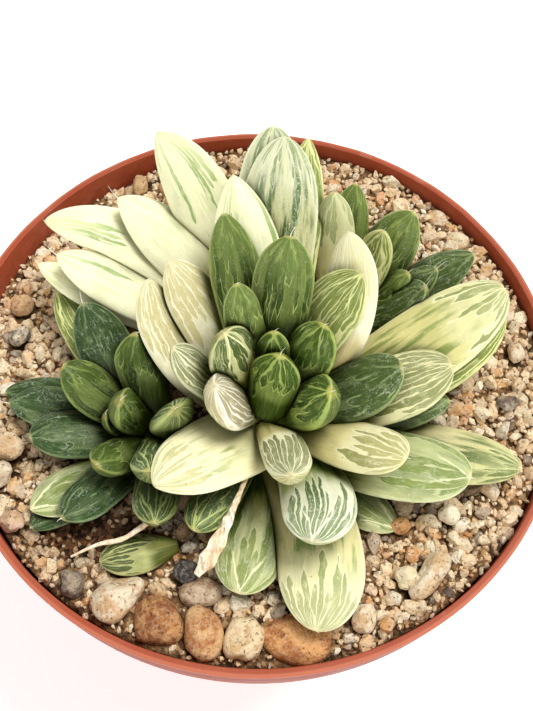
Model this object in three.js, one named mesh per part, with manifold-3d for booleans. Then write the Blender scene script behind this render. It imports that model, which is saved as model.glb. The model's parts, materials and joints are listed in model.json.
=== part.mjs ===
// Potted haworthia: a clump of thick-leaved rosettes in a thin plastic pot.
// Millimetres, +Z up. The origin is the centre of the pot's foot, on the surface it stands on.
import * as THREE from 'three';
import { mergeVertices } from 'three/addons/utils/BufferGeometryUtils.js';
import Module from 'manifold-3d';

const wasm = await Module();
wasm.setup();

// Pot
const RIM_R = 55; // outer radius of the lip
const POT_H = 82; // foot to rim
const LIP_W = 1.4; // lip, seen from above
const LIP_H = 2; // depth of the lip's outer face
const COLLAR_R = 54.6; // collar under the lip
const COLLAR_H = 9; // collar's depth below the lip
const COLLAR_IN = 0.4; // how far its inside draws in, from the rim down
const WALL_R = 53.4; // wall just below the collar
const FOOT_R = 38; // outer radius at the foot
const WALL = 1.2; // wall thickness
const FLOOR_Z = 2; // underside of the raised floor, above the foot ring
const FOOT_W = 3; // width of the foot ring
const DRAIN_R = 3; // drainage holes
const DRAIN_RING = 21; // their circle
const DRAINS = 6;
const POT_SIDES = 44; // flats round the pot
const HOLE_SIDES = 16; // flats round a drainage hole

// Filling
const GAP = 0.3; // clearance between pieces that touch
const MIX_TOP = 73; // top of the potting mix
const GRIT_BACK = 77; // grit surface at the back and left
const GRIT_FRONT = 79.5; // grit surface at the front
const GRIT_WAVE = 0.5; // unevenness of the grit surface
const BED_RINGS = 7; // rings of the grit's top
const BED_EDGE = 1.5; // width of the bevel under the grit's edge
const BED_EDGE_H = 2.2; // and its height
const BED_SIDES = 32; // flats round the mix and the grit

// Stems: centre x, y, radius and top of each short, hidden stem
const STEMS = {
  main: { x: 2, y: -12, r: 6, top: 91 },
  cream: { x: -5, y: 6, r: 4.5, top: 86 },
  left: { x: -17, y: -14, r: 4, top: 85 },
  back: { x: 15, y: 11, r: 4, top: 83 },
  loose: { x: -12, y: -33.5, r: 0, top: 0 },
};
const STEM_FOOT = 66; // lowest point of the stems, inside the mix
const STEM_SIDES = 20;
const FORK_Z = 70; // height of the roots' collar and of the fork between the two heads of the main stem
const FORK_R = 3;
const ROOT_R = 1.3;
const ROOT_STEPS = 5;
const CORD_SIDES = 8; // corners of a root's or stalk's section

// Roots: the stem they leave, their direction (degrees), how far out they reach and how far down
const ROOTS = [
  { stem: 'main', turn: -60, reach: 26, drop: 30 },
  { stem: 'main', turn: 70, reach: 24, drop: 34 },
  { stem: 'main', turn: 185, reach: 20, drop: 26 },
  { stem: 'left', turn: 170, reach: 15, drop: 24 },
  { stem: 'back', turn: 40, reach: 17, drop: 25 },
];

// Leaves, from the heart of each rosette outwards. Every row gives the stem, the side of the stem that the
// leaf leaves from (degrees), the height it leaves at, its tip x y z, its width and thickness, how far its
// middle sags below and swings beside the straight line, how narrow its neck is, where it is widest, and how
// pointed its end is (0.5 is round).
const LEAVES = [
  ['leaf_34', 'main', 60, 92, 3.4, -8.6, 102.2, 7.5, 5.5, 0.5, 0, 0.6, 0.65, 0.55],
  ['leaf_28', 'main', -140, 90, -6.5, -15, 103, 9, 5.5, 1, 0, 0.5, 0.6, 0.6],
  ['leaf_30', 'main', 150, 91, -5.5, -6.5, 105, 9.5, 5.5, 1, 0, 0.6, 0.65, 0.55],
  ['leaf_36', 'main', 38, 91, 10.6, -2.8, 103, 8, 5.5, 1, 0, 0.6, 0.65, 0.55],
  ['leaf_37', 'main', -5, 91, 12, -14, 101.2, 8, 5.5, 1, 0, 0.6, 0.65, 0.6],
  ['leaf_27', 'main', -80, 90, 6, -28.5, 101, 7.4, 5.5, 1.5, -0.8, 0.6, 0.65, 0.6],
  ['leaf_32', 'main', 82, 89, 4.3, 9.2, 110.3, 10.5, 5.5, 1.5, -0.3, 0.6, 0.65, 0.6],
  ['leaf_29', 'main', 180, 88, -13.8, -8, 102, 7, 4.5, 1.5, 0, 0.6, 0.65, 0.6],
  ['leaf_33', 'main', 111, 88, -7, 15.5, 107, 9.2, 5, 2, 0.3, 0.6, 0.6, 0.65],
  ['leaf_10', 'main', 50, 88, 16.5, 6, 105, 10.5, 5, 2, -1.8, 0.6, 0.65, 0.6],
  ['leaf_02', 'main', 105, 87, -6, 24.5, 106, 12, 5.5, 2, 1, 0.6, 0.58, 0.85],
  ['leaf_16', 'main', 20, 86, 24, -7.3, 98, 11, 6, 2, 0, 0.6, 0.65, 0.5],
  ['leaf_19', 'main', -26, 86, 24.5, -22.6, 96, 9.5, 5, 1.5, -0.5, 0.6, 0.68, 0.45],
  ['leaf_09', 'main', 20, 86, 14, 13.8, 106, 9.5, 4.5, 3, 4.7, 0.6, 0.68, 0.7],
  ['leaf_59', 'main', 140, 86, -16, 8.7, 102, 10, 5, 3, 1.2, 0.5, 0.65, 0.65],
  ['leaf_58', 'main', 160, 85, -19.3, 5.8, 100.5, 8.5, 5, 4, -3, 0.6, 0.65, 0.6],
  ['leaf_26', 'main', -75, 84, -15.3, -29, 95, 13, 5.5, 0, 0.7, 0.6, 0.5, 0.75],
  ['leaf_03', 'main', 90, 82, 2.6, 31, 109, 13.3, 6, 2.5, 0, 0.6, 0.7, 0.5],
  ['leaf_17', 'main', 8, 84, 33, -4.3, 94, 12, 5.5, 2, 0, 0.6, 0.65, 0.6],
  ['leaf_14', 'main', 15, 82, 42.5, 10.5, 96, 14.5, 5.5, 2, 0.6, 0.6, 0.65, 0.7],
  ['leaf_23', 'main', -60, 82.5, 9.8, -36.5, 94, 12.3, 6, 2, -4, 0.6, 0.68, 0.6],
  ['leaf_20', 'main', -25, 81, 36, -23, 90, 13, 5, 1.5, 0, 0.6, 0.65, 0.55],
  ['leaf_63', 'main', 92, 79, 0.6, 35, 107, 13.3, 5.5, 2.5, 0, 0.6, 0.68, 0.5],
  ['leaf_15', 'main', 10, 80, 43.5, 9.5, 90, 12, 5, 1.5, 2.5, 0.6, 0.65, 0.6],
  ['leaf_56', 'main', -140, 81, -9, -33.3, 87, 8, 5.5, 1, 0, 0.6, 0.65, 0.5],
  ['leaf_24', 'main', -50, 80, 11.3, -48, 85, 14.8, 6, 1, -3.8, 0.6, 0.6, 0.55],
  ['leaf_25', 'main', -95, 79, -1.2, -42.4, 84, 11.5, 5.5, 1, -0.8, 0.6, 0.68, 0.5],
  ['leaf_21', 'main', -10, 79, 46, -18.2, 84, 10.5, 4.5, 0.5, -1, 0.6, 0.65, 0.5],
  ['leaf_39', 'cream', 125, 81.5, -27, 25, 97, 10.7, 5, 0, 2.5, 0.6, 0.6, 0.75],
  ['leaf_40', 'cream', 167, 80.5, -37, 14, 94, 10.3, 5, 1, 0.7, 0.6, 0.6, 0.75],
  ['leaf_01', 'cream', 110, 79.5, -20, 33, 106, 12.4, 5.5, 2, 4.6, 0.6, 0.6, 0.75],
  ['leaf_38', 'cream', 140, 80, -40.2, 21.2, 94, 11, 5, -2, 5.7, 0.6, 0.6, 0.75],
  ['leaf_50', 'left', 60, 84, -13, -15.8, 95.5, 8.7, 5.5, 0.5, 0, 0.6, 0.65, 0.5],
  ['leaf_51', 'left', -60, 84, -16.2, -26.3, 94, 7.7, 5.5, 1, 0, 0.6, 0.65, 0.55],
  ['leaf_48', 'left', 166, 83, -22.7, -13, 92, 7.5, 5, 1, 0, 0.6, 0.65, 0.55],
  ['leaf_44', 'left', 110, 82, -21, -2, 96, 9.3, 5.5, 2, 0, 0.6, 0.65, 0.55],
  ['leaf_45', 'left', 151, 81, -33.4, -6.5, 91, 8.6, 5.5, 1.5, 0, 0.6, 0.65, 0.55],
  ['leaf_43', 'left', 126, 79, -31.5, 5.6, 92, 10, 5, 2, 0, 0.6, 0.65, 0.6],
  ['leaf_47', 'left', 180, 79, -38.5, -17.7, 85, 9.4, 5.5, 1, 1.2, 0.6, 0.65, 0.55],
  ['leaf_53', 'left', -133, 79, -31, -31.8, 85, 8, 5, 1, 0, 0.6, 0.65, 0.6],
  ['leaf_54', 'left', -147, 78.5, -37, -29.5, 82, 8.6, 4.5, 1, 0, 0.6, 0.65, 0.6],
  ['leaf_46', 'left', 160, 78.5, -44, -10, 82, 8.5, 5, 1, 1.7, 0.6, 0.65, 0.6],
  ['leaf_05', 'back', 110, 79, 12, 26.5, 100, 8, 5, 2, 0, 0.6, 0.65, 0.6],
  ['leaf_07', 'back', 70, 78, 27.7, 29, 92, 11, 5.5, 2, -0.8, 0.5, 0.6, 0.6],
  ['leaf_11', 'back', 35, 77.5, 39.5, 23, 88, 9, 5, 1.5, -0.7, 0.6, 0.6, 0.65],
  ['leaf_57', 'loose', 0, 79, -24.5, -37.5, 81, 7, 4, 0, 0, 0.35, 0.5, 0.6],
];
const LEAF_STEPS = 7; // sections along a leaf
const LEAF_SIDES = 8; // corners of a section
const UPPER = 0.38; // share of the thickness above the centre line
const LEAF_SEAT = 0.6; // where a leaf starts, as a share of its stem's radius
const NECK_CURVE = 1.3; // how the width grows from the neck
const END_CURVE = 2.2; // how it closes towards the tip
const STEP_CURVE = 1.6; // how the sections gather towards the tip

// Stones: centre x y z, length, width and height, and turn (degrees)
const STONES = [
  ['stone_whitish', -21.1, -43.2, 79.5, 10, 6.6, 6, 40],
  ['stone_brown', -14, -46.4, 79.7, 7.8, 8.2, 6, 20],
  ['stone_tan', -6.6, -48, 79.7, 7.2, 8.6, 5.5, 110],
  ['stone_cream', 0.4, -49.2, 79.7, 6.6, 6.8, 5.5, 0],
  ['stone_flat', 9.2, -47.6, 79, 12, 9, 5, 10],
  ['stone_grey', -7.5, -41.2, 78.6, 7.4, 5.2, 5, 5],
];

// Dried leaf and dry flower stalk
const DRY_LEAF = [[-2.6, -27.5, 86], [-4.2, -32, 87.2], [-6, -36, 85], [-8.2, -39.2, 82]];
const DRY_LEAF_W = 4;
const DRY_LEAF_T = 0.8;
const DRY_LEAF_STEPS = 10;
const STALK = [[-15.5, -30.5, 84.6], [-18.5, -32.2, 83.4], [-23.5, -34.6, 82.4], [-29.3, -36.8, 80.8]];
const STALK_R = 0.6;
const STALK_STEPS = 6;

const COLOURS = {
  pot: 0xb4593f, mix: 0x3a2a20, grit: 0xc9b394, stem: 0xa3a56a, dry: 0xd9c39a,
  stone_whitish: 0xd8cbb6, stone_brown: 0x9c6238, stone_tan: 0xb98a5c,
  stone_cream: 0xd9c7a6, stone_flat: 0xb07c4c, stone_grey: 0xb9a68c,
};
const GREEN = 0x5f7a3e;
const CREAM = 0xe4dfae;
const CREAM_LEAVES = ['01', '02', '09', '14', '17', '19', '20', '21', '23', '24', '26', '28', '29', '38',
  '39', '40', '58', '59', '63'];

const rad = THREE.MathUtils.degToRad;
const group = new THREE.Group();

// A closed geometry as a solid, with its shared corners joined.
function solid(geometry) {
  geometry.deleteAttribute('normal');
  geometry.deleteAttribute('uv');
  const merged = mergeVertices(geometry, 1e-4);
  const vertProperties = new Float32Array(merged.attributes.position.array);
  const triVerts = new Uint32Array(merged.index.array);
  return new wasm.Manifold(new wasm.Mesh({ numProp: 3, vertProperties, triVerts }));
}

// The largest body of a solid, as a named mesh in the group. Slivers that a cut leaves are dropped.
function add(name, body, colour, roughness) {
  const pieces = body.decompose().sort((a, b) => b.volume() - a.volume());
  const cut = pieces[0].getMesh();
  const geometry = new THREE.BufferGeometry();
  geometry.setAttribute('position', new THREE.BufferAttribute(new Float32Array(cut.vertProperties), 3));
  geometry.setIndex(new THREE.BufferAttribute(new Uint32Array(cut.triVerts), 1));
  geometry.computeVertexNormals();
  const material = new THREE.MeshStandardMaterial({ color: colour, roughness, metalness: 0 });
  const mesh = new THREE.Mesh(geometry, material);
  mesh.name = name;
  group.add(mesh);
}

// Rings of points, closed at both ends by a fan, as a solid.
function skin(rings, first, last) {
  const sides = rings[0].length;
  const points = [first, ...rings.flat(), last];
  const index = [];
  const at = (ring, side) => 1 + ring * sides + (side % sides);
  for (let s = 0; s < sides; s++) {
    index.push(0, at(0, s + 1), at(0, s));
    for (let r = 0; r + 1 < rings.length; r++) {
      index.push(at(r, s), at(r, s + 1), at(r + 1, s + 1));
      index.push(at(r, s), at(r + 1, s + 1), at(r + 1, s));
    }
    index.push(points.length - 1, at(rings.length - 1, s), at(rings.length - 1, s + 1));
  }
  const geometry = new THREE.BufferGeometry().setFromPoints(points);
  geometry.setIndex(index);
  const body = solid(geometry);
  return body.volume() > 0 ? body : solid(geometry.clone().setIndex(index.reverse()));
}

// One leaf: flat-topped, thick-bellied sections along a bowed centre line. Extra is added all round.
function leaf(row, extra) {
  const [, stemName, from, z0, x, y, z, width, thick, bow, sway, neck, widest, blunt] = row;
  const stem = STEMS[stemName];
  const start = new THREE.Vector3(
    stem.x + LEAF_SEAT * stem.r * Math.cos(rad(from)), stem.y + LEAF_SEAT * stem.r * Math.sin(rad(from)), z0);
  const tip = new THREE.Vector3(x, y, z);
  const along = tip.clone().sub(start).normalize();
  start.addScaledVector(along, -extra);
  tip.addScaledVector(along, extra);
  const side = new THREE.Vector3(along.y, -along.x, 0).normalize();
  const face = side.clone().cross(along);
  const middle = start.clone().add(tip).multiplyScalar(0.5);
  middle.addScaledVector(face, -2 * bow).addScaledVector(side, 2 * sway);
  const line = new THREE.QuadraticBezierCurve3(start, middle, tip);
  const rings = [];
  for (let i = 0; i < LEAF_STEPS; i++) {
    const u = 1 - (1 - i / LEAF_STEPS) ** STEP_CURVE;
    const t = Math.max(0, (u - widest) / (1 - widest));
    const grown = neck + (1 - neck) * Math.sin((Math.PI / 2) * Math.min(1, u / widest)) ** NECK_CURVE;
    const half = (width / 2) * (u < widest ? grown : (1 - t ** END_CURVE) ** blunt) + extra;
    const v = Math.max(0, 2 * u - 1);
    const full = u < 0.5 ? 0.7 + 0.3 * Math.sin(Math.PI * u) : (1 - v ** 2.4) ** 0.62;
    const depth = thick * full + 2 * extra;
    const centre = line.getPoint(u);
    const forward = line.getTangent(u);
    const up = face.clone().addScaledVector(forward, -face.dot(forward)).normalize();
    const across = forward.clone().cross(up);
    const ring = [];
    for (let k = 0; k < LEAF_SIDES; k++) {
      const a = (2 * Math.PI * k) / LEAF_SIDES;
      const rise = (Math.sin(a) > 0 ? UPPER : 1 - UPPER) * Math.sin(a) * depth;
      ring.push(centre.clone().addScaledVector(across, half * Math.cos(a)).addScaledVector(up, rise));
    }
    rings.push(ring);
  }
  return skin(rings, start, tip);
}

// A short stem: a round peg with a domed top.
function stemPeg(name, extra) {
  const { x, y, r, top } = STEMS[name];
  const outer = r + extra;
  const profile = [[0, STEM_FOOT - extra], [outer * 0.8, STEM_FOOT - extra], [outer, STEM_FOOT + 3],
    [outer, top - 2.5], [outer * 0.7, top - 0.6 + extra], [0, top + extra]];
  const peg = new THREE.LatheGeometry(profile.map(([px, py]) => new THREE.Vector2(px, py)), STEM_SIDES);
  return solid(peg.rotateX(Math.PI / 2).translate(x, y, 0));
}

// A root: a round cord from the foot of a stem, out and down through the mix.
function root({ stem, turn, reach, drop }, extra) {
  const { x, y } = STEMS[stem];
  const dx = Math.cos(rad(turn));
  const dy = Math.sin(rad(turn));
  const route = new THREE.CatmullRomCurve3([
    new THREE.Vector3(x, y, FORK_Z),
    new THREE.Vector3(x + dx * reach * 0.35, y + dy * reach * 0.35, STEM_FOOT - 2),
    new THREE.Vector3(x + dx * reach * 0.75, y + dy * reach * 0.75, STEM_FOOT - drop * 0.5),
    new THREE.Vector3(x + dx * reach, y + dy * reach, STEM_FOOT - drop - extra),
  ]);
  return cord(route, ROOT_R + extra, ROOT_STEPS);
}

// A round cord along a curve.
function cord(route, radius, steps) {
  const outline = new THREE.Shape();
  for (let k = 0; k < CORD_SIDES; k++) {
    const a = (2 * Math.PI * k) / CORD_SIDES;
    if (k === 0) outline.moveTo(radius, 0);
    else outline.lineTo(radius * Math.cos(a), radius * Math.sin(a));
  }
  return solid(new THREE.ExtrudeGeometry(outline, { steps, bevelEnabled: false, extrudePath: route }));
}

// A water-worn stone: a rounded lump with shallow flats.
function stone([, x, y, z, sx, sy, sz, turn], extra) {
  const lump = new THREE.IcosahedronGeometry(1, 1);
  const points = lump.attributes.position;
  const p = new THREE.Vector3();
  for (let i = 0; i < points.count; i++) {
    p.fromBufferAttribute(points, i);
    const dent = 1 - 0.1 * Math.sin(3 * p.x + x) * Math.cos(2.6 * p.y + y) - 0.06 * Math.sin(4 * p.z + sx);
    const half = new THREE.Vector3(sx, sy, sz).multiplyScalar(0.5).addScalar(extra);
    p.multiplyScalar(dent).multiply(half);
    points.setXYZ(i, p.x, p.y, p.z);
  }
  return solid(lump.rotateZ(rad(turn)).translate(x, y, z));
}

// Height of the grit surface: it falls from the front to the back and left, and is a little uneven.
function gritHeight(x, y) {
  const front = THREE.MathUtils.smoothstep(-y + 0.35 * x, -30, 45);
  const wave = Math.sin(0.31 * x + 1) * Math.cos(0.27 * y) + 0.5 * Math.sin(0.55 * x - 0.4 * y);
  return GRIT_BACK + (GRIT_FRONT - GRIT_BACK) * front + GRIT_WAVE * wave;
}

const lipFoot = POT_H - LIP_H;
const collarFoot = lipFoot - COLLAR_H;

// The inner radius of the pot's wall at a height below the collar.
function innerRadius(z) {
  return THREE.MathUtils.mapLinear(z, 0, collarFoot, FOOT_R, WALL_R) - WALL;
}

// The pot: one moulded shell with a rolled lip, a collar, a foot ring and drainage holes.
const shellProfile = [
  [0, FLOOR_Z], [FOOT_R - FOOT_W, FLOOR_Z], [FOOT_R - FOOT_W + 0.4, 0], [FOOT_R, 0],
  [WALL_R, collarFoot], [COLLAR_R - 0.8, collarFoot + 0.6], [COLLAR_R, lipFoot], [RIM_R - 0.3, lipFoot],
  [RIM_R, lipFoot + 0.4], [RIM_R, POT_H - 0.5], [RIM_R - 0.5, POT_H], [RIM_R - LIP_W + 0.4, POT_H],
  [RIM_R - LIP_W, POT_H - 0.4], [RIM_R - LIP_W - COLLAR_IN, collarFoot + 2.6], [WALL_R - WALL, collarFoot],
  [innerRadius(FLOOR_Z + WALL), FLOOR_Z + WALL], [0, FLOOR_Z + WALL],
];
const shell = new THREE.LatheGeometry(shellProfile.map(([x, y]) => new THREE.Vector2(x, y)), POT_SIDES);
let pot = solid(shell.rotateX(Math.PI / 2));
for (let k = 0; k < DRAINS; k++) {
  const a = (2 * Math.PI * k) / DRAINS;
  const drill = new THREE.CylinderGeometry(DRAIN_R, DRAIN_R, 6 * WALL, HOLE_SIDES).rotateX(Math.PI / 2);
  drill.translate(DRAIN_RING * Math.cos(a), DRAIN_RING * Math.sin(a), FLOOR_Z);
  pot = pot.subtract(solid(drill));
}
add('pot', pot, COLOURS.pot, 0.55);

// The stems with their thick roots. The main stem has divided, and its second head bears the cream leaves.
const stemSolid = (names, extra) => {
  let body = stemPeg(names[0], extra);
  for (const name of names.slice(1)) body = body.add(stemPeg(name, extra));
  if (names.includes('cream')) body = body.add(fork(extra));
  for (const item of ROOTS) {
    if (names.includes(item.stem)) body = body.add(root(item, extra));
  }
  return body;
};

// The part of the main stem that joins its two heads, below the surface.
function fork(extra) {
  const from = new THREE.Vector3(STEMS.main.x, STEMS.main.y, FORK_Z);
  const to = new THREE.Vector3(STEMS.cream.x, STEMS.cream.y, FORK_Z + 1);
  return cord(new THREE.LineCurve3(from, to), FORK_R + extra, 2);
}
const plants = { stem_main: ['main', 'cream'], stem_left: ['left'], stem_back: ['back'] };
let taken = null;
for (const [name, heads] of Object.entries(plants)) {
  add(name, stemSolid(heads, 0), COLOURS.stem, 0.7);
  const room = stemSolid(heads, GAP);
  taken = taken ? taken.add(room) : room;
}

// The leaves: each is pressed to shape by the ones that grew before it.
for (const row of LEAVES) {
  const colour = CREAM_LEAVES.includes(row[0].slice(-2)) ? CREAM : GREEN;
  add(row[0], leaf(row, 0).subtract(taken), colour, 0.35);
  taken = taken.add(leaf(row, GAP));
}

// The dried leaf, a thin bent strip, and the dry flower stalk.
const dryLine = new THREE.CatmullRomCurve3(DRY_LEAF.map((p) => new THREE.Vector3(...p)));
const strip = new THREE.Shape();
strip.moveTo(-DRY_LEAF_T / 2, -DRY_LEAF_W / 2);
strip.lineTo(DRY_LEAF_T / 2, -DRY_LEAF_W / 2);
strip.lineTo(DRY_LEAF_T / 2, DRY_LEAF_W / 2);
strip.lineTo(-DRY_LEAF_T / 2, DRY_LEAF_W / 2);
const dryLeaf = new THREE.ExtrudeGeometry(strip,
  { steps: DRY_LEAF_STEPS, bevelEnabled: false, extrudePath: dryLine });
add('dried_leaf', solid(dryLeaf).subtract(taken), COLOURS.dry, 0.9);
const stalkLine = new THREE.CatmullRomCurve3(STALK.map((p) => new THREE.Vector3(...p)));
add('dry_stalk', cord(stalkLine, STALK_R, STALK_STEPS).subtract(taken), COLOURS.dry, 0.9);
taken = taken.add(cord(stalkLine, STALK_R + GAP, STALK_STEPS));

// The large stones, laid along the front of the pot.
for (const row of STONES) {
  add(row[0], stone(row, 0).subtract(taken), COLOURS[row[0]], 0.8);
  taken = taken.add(stone(row, GAP));
}

// The potting mix fills the pot up to the grit, round the stems and roots.
const mixFoot = FLOOR_Z + WALL + GAP;
const mixProfile = [[0, mixFoot], [innerRadius(mixFoot) - GAP, mixFoot],
  [innerRadius(collarFoot) - GAP, collarFoot], [innerRadius(collarFoot) - GAP, MIX_TOP], [0, MIX_TOP]];
const mix = new THREE.LatheGeometry(mixProfile.map(([x, y]) => new THREE.Vector2(x, y)), BED_SIDES);
add('potting_mix', solid(mix.rotateX(Math.PI / 2)).subtract(taken), COLOURS.mix, 1);

// The grit bed: a disc with an uneven top, with pockets for the stones and the lowest leaves.
const bedRadius = RIM_R - LIP_W - COLLAR_IN - GAP;
const bedFoot = MIX_TOP + GAP;
const bedProfile = [[0, bedFoot], [bedRadius - BED_EDGE, bedFoot], [bedRadius, bedFoot + BED_EDGE_H]];
for (let k = BED_RINGS; k >= 0; k--) bedProfile.push([(bedRadius * k) / BED_RINGS, GRIT_FRONT]);
const bed = new THREE.LatheGeometry(bedProfile.map(([x, y]) => new THREE.Vector2(x, y)), BED_SIDES);
bed.rotateX(Math.PI / 2);
const spots = bed.attributes.position;
for (let i = 0; i < spots.count; i++) {
  const onTop = spots.getZ(i) > bedFoot + BED_EDGE_H + GAP;
  if (onTop) spots.setZ(i, gritHeight(spots.getX(i), spots.getY(i)));
}
add('grit_bed', solid(bed).subtract(taken), COLOURS.grit, 0.95);

export default group;
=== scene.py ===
import json
import math

import bmesh
import bpy
import numpy as np
from mathutils import Matrix, Vector
from mathutils.bvhtree import BVHTree

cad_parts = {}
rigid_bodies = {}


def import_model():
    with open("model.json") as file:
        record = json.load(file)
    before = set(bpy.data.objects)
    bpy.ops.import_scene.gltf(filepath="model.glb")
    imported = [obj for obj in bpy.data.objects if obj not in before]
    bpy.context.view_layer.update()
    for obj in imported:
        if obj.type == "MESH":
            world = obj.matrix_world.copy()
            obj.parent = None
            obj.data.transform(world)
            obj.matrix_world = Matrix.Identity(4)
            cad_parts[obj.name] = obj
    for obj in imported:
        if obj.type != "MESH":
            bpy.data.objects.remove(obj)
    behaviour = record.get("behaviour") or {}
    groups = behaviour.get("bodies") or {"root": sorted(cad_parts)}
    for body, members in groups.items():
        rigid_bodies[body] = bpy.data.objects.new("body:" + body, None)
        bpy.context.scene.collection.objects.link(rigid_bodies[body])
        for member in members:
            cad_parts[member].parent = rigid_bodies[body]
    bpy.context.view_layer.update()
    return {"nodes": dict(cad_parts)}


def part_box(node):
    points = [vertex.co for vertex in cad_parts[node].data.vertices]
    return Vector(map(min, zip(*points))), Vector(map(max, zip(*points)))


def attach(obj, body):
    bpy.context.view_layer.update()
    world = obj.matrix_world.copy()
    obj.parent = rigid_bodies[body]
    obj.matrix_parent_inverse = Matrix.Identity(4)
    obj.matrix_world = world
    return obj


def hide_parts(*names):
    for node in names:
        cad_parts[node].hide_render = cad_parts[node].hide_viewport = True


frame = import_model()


# Camera: the plant is seen from above its front edge, at about arm's length, with the pot filling the
# picture. The picture is 533 by 711 pixels, and its focal length is given in those pixels.
MM = 0.001
AIM = Vector((1.4, 2.3, 82)) * MM
DISTANCE = 183.4 * MM
ELEVATION = math.radians(61.5)
ROLL = math.radians(2.9)
FOCAL_PIXELS = 1000
PICTURE_HEIGHT = 711

view = bpy.data.cameras.new("plant_view")
view.sensor_width = 36
view.lens = view.sensor_width * FOCAL_PIXELS / PICTURE_HEIGHT
view.clip_start = 0.01
camera = bpy.data.objects.new("plant_view", view)
bpy.context.scene.collection.objects.link(camera)
ahead = Vector((0, math.cos(ELEVATION), -math.sin(ELEVATION)))
level_right = Vector((1, 0, 0))
level_up = Vector((0, math.sin(ELEVATION), math.cos(ELEVATION)))
right = level_right * math.cos(ROLL) + level_up * math.sin(ROLL)
up = level_up * math.cos(ROLL) - level_right * math.sin(ROLL)
turned = Matrix((right, up, -ahead)).transposed().to_4x4()
camera.matrix_world = Matrix.Translation(AIM - ahead * DISTANCE) @ turned
bpy.context.scene.camera = camera


# Pot: one thin shell of terracotta-coloured plastic, moulded with a lip, a collar under it, a foot ring and
# drainage holes in its raised floor. Grit has left dust and fine scratches on it.
class Wire:
    """An output socket that takes part in sums: each operator adds one Math node."""

    def __init__(self, wiring, socket):
        self.wiring = wiring
        self.socket = socket

    def maths(self, operation, *values):
        return self.wiring.node("ShaderNodeMath", dict(enumerate(values)), operation=operation)

    def __add__(self, other):
        return self.maths("ADD", self, other)

    def __sub__(self, other):
        return self.maths("SUBTRACT", self, other)

    def __rsub__(self, other):
        return self.maths("SUBTRACT", other, self)

    def __mul__(self, other):
        return self.maths("MULTIPLY", self, other)

    def __truediv__(self, other):
        return self.maths("DIVIDE", self, other)

    def __abs__(self):
        return self.maths("ABSOLUTE", self)

    __radd__ = __add__
    __rmul__ = __mul__

    def rise(self, low, high):
        """0 below low and 1 above high, with a smooth slope between. It falls where high is below low."""
        return self.wiring.node("ShaderNodeMapRange", {"Value": self, "From Min": low, "From Max": high},
                                interpolation_type="SMOOTHSTEP")


class Wiring:
    """A node tree, and the one way to add a node to it."""

    def __init__(self, tree):
        self.tree = tree

    def node(self, kind, sockets=None, output=0, stops=(), **settings):
        """Adds a node, sets and wires it, and gives its output. Stops are the colour stops of a ramp."""
        node = self.tree.nodes.new(kind)
        for setting, value in settings.items():
            setattr(node, setting, value)
        for _ in stops[2:]:
            node.color_ramp.elements.new(1)
        for stop, (place, colour) in enumerate(stops):
            node.color_ramp.elements[stop].position = place
            node.color_ramp.elements[stop].color = colour
        for name, value in (sockets or {}).items():
            self.feed(self.pick(node.inputs, name), value)
        return Wire(self, self.pick(node.outputs, output)) if node.outputs else None

    def noted(self, name, kind="FLOAT"):
        """What note() has kept under that name, for a tree that works on the shape."""
        return self.node("GeometryNodeInputNamedAttribute", {"Name": name}, data_type=kind)

    def chance(self, kind, low, high, seed):
        """A random value for each point of a shape, from low to high."""
        output = {"FLOAT_VECTOR": 0, "FLOAT": 1, "INT": 2}[kind]
        return self.node("FunctionNodeRandomValue", {"Min": low, "Max": high, "Seed": seed}, output,
                         data_type=kind)

    def pick(self, sockets, name):
        if isinstance(name, int):
            return sockets[name]
        return next(s for s in sockets if s.name == name and s.enabled)

    def feed(self, socket, value):
        if isinstance(value, Wire):
            self.tree.links.new(value.socket, socket)
        else:
            socket.default_value = value


class Finish(Wiring):
    """A material: its skin is a Principled shader, and what varies over the surface is wired into it."""

    def __init__(self, name, **constants):
        self.material = bpy.data.materials.new(name)
        self.material.use_nodes = True
        super().__init__(self.material.node_tree)
        self.skin = self.tree.nodes["Principled BSDF"]
        for socket, value in constants.items():
            self.skin.inputs[socket.replace("_", " ")].default_value = value

    def place(self):
        """Where a point of the piece is, in millimetres."""
        metres = self.node("ShaderNodeTexCoord", output="Object")
        return self.scaled(metres, (1000, 1000, 1000))

    def mark(self, name, output="Fac"):
        """What note() has kept under that name at each point of the piece."""
        return self.node("ShaderNodeAttribute", output=output, attribute_name=name)

    def scaled(self, vector, by):
        return self.node("ShaderNodeVectorMath", {0: vector, 1: by}, operation="MULTIPLY")

    def moved(self, vector, by):
        return self.node("ShaderNodeVectorMath", {0: vector, 1: by}, operation="ADD")

    def parts(self, vector):
        """Its x, y and z, or its red, green and blue."""
        split = self.node("ShaderNodeSeparateXYZ", {0: vector}).socket.node
        return [Wire(self, split.outputs[k]) for k in range(3)]

    def joined(self, x, y, z=0.0):
        return self.node("ShaderNodeCombineXYZ", {0: x, 1: y, 2: z})

    def noise(self, place, grain, detail=2.0, rough=0.5):
        """Cloudy noise, 0 to 1, whose features are about grain millimetres long."""
        return self.node("ShaderNodeTexNoise", {"Vector": place, "Scale": 1 / grain, "Detail": detail,
                                                "Roughness": rough})

    def strips(self, place, feature, output):
        """Strips of uneven breadth, about 1 wide, along one number."""
        return self.node("ShaderNodeTexVoronoi", {"W": place, "Scale": 1.0, "Randomness": 1.0}, output,
                         voronoi_dimensions="1D", feature=feature)

    def mixed(self, share, first, second, blend="MIX"):
        """The first colour, with that share of the second one laid over it."""
        return self.node("ShaderNodeMix", {0: share, 6: first, 7: second}, 2, data_type="RGBA",
                         blend_type=blend)

    def coat(self, colour, roughness, height=None, depth=0.1):
        """Wires in the colour, the roughness and a bump of that depth in millimetres."""
        self.feed(self.skin.inputs["Base Color"], colour)
        self.feed(self.skin.inputs["Roughness"], roughness)
        if height:
            bump = self.node("ShaderNodeBump", {"Height": height, "Distance": depth * MM, "Strength": 1.0})
            self.feed(self.skin.inputs["Normal"], bump)
        return self.material


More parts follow.
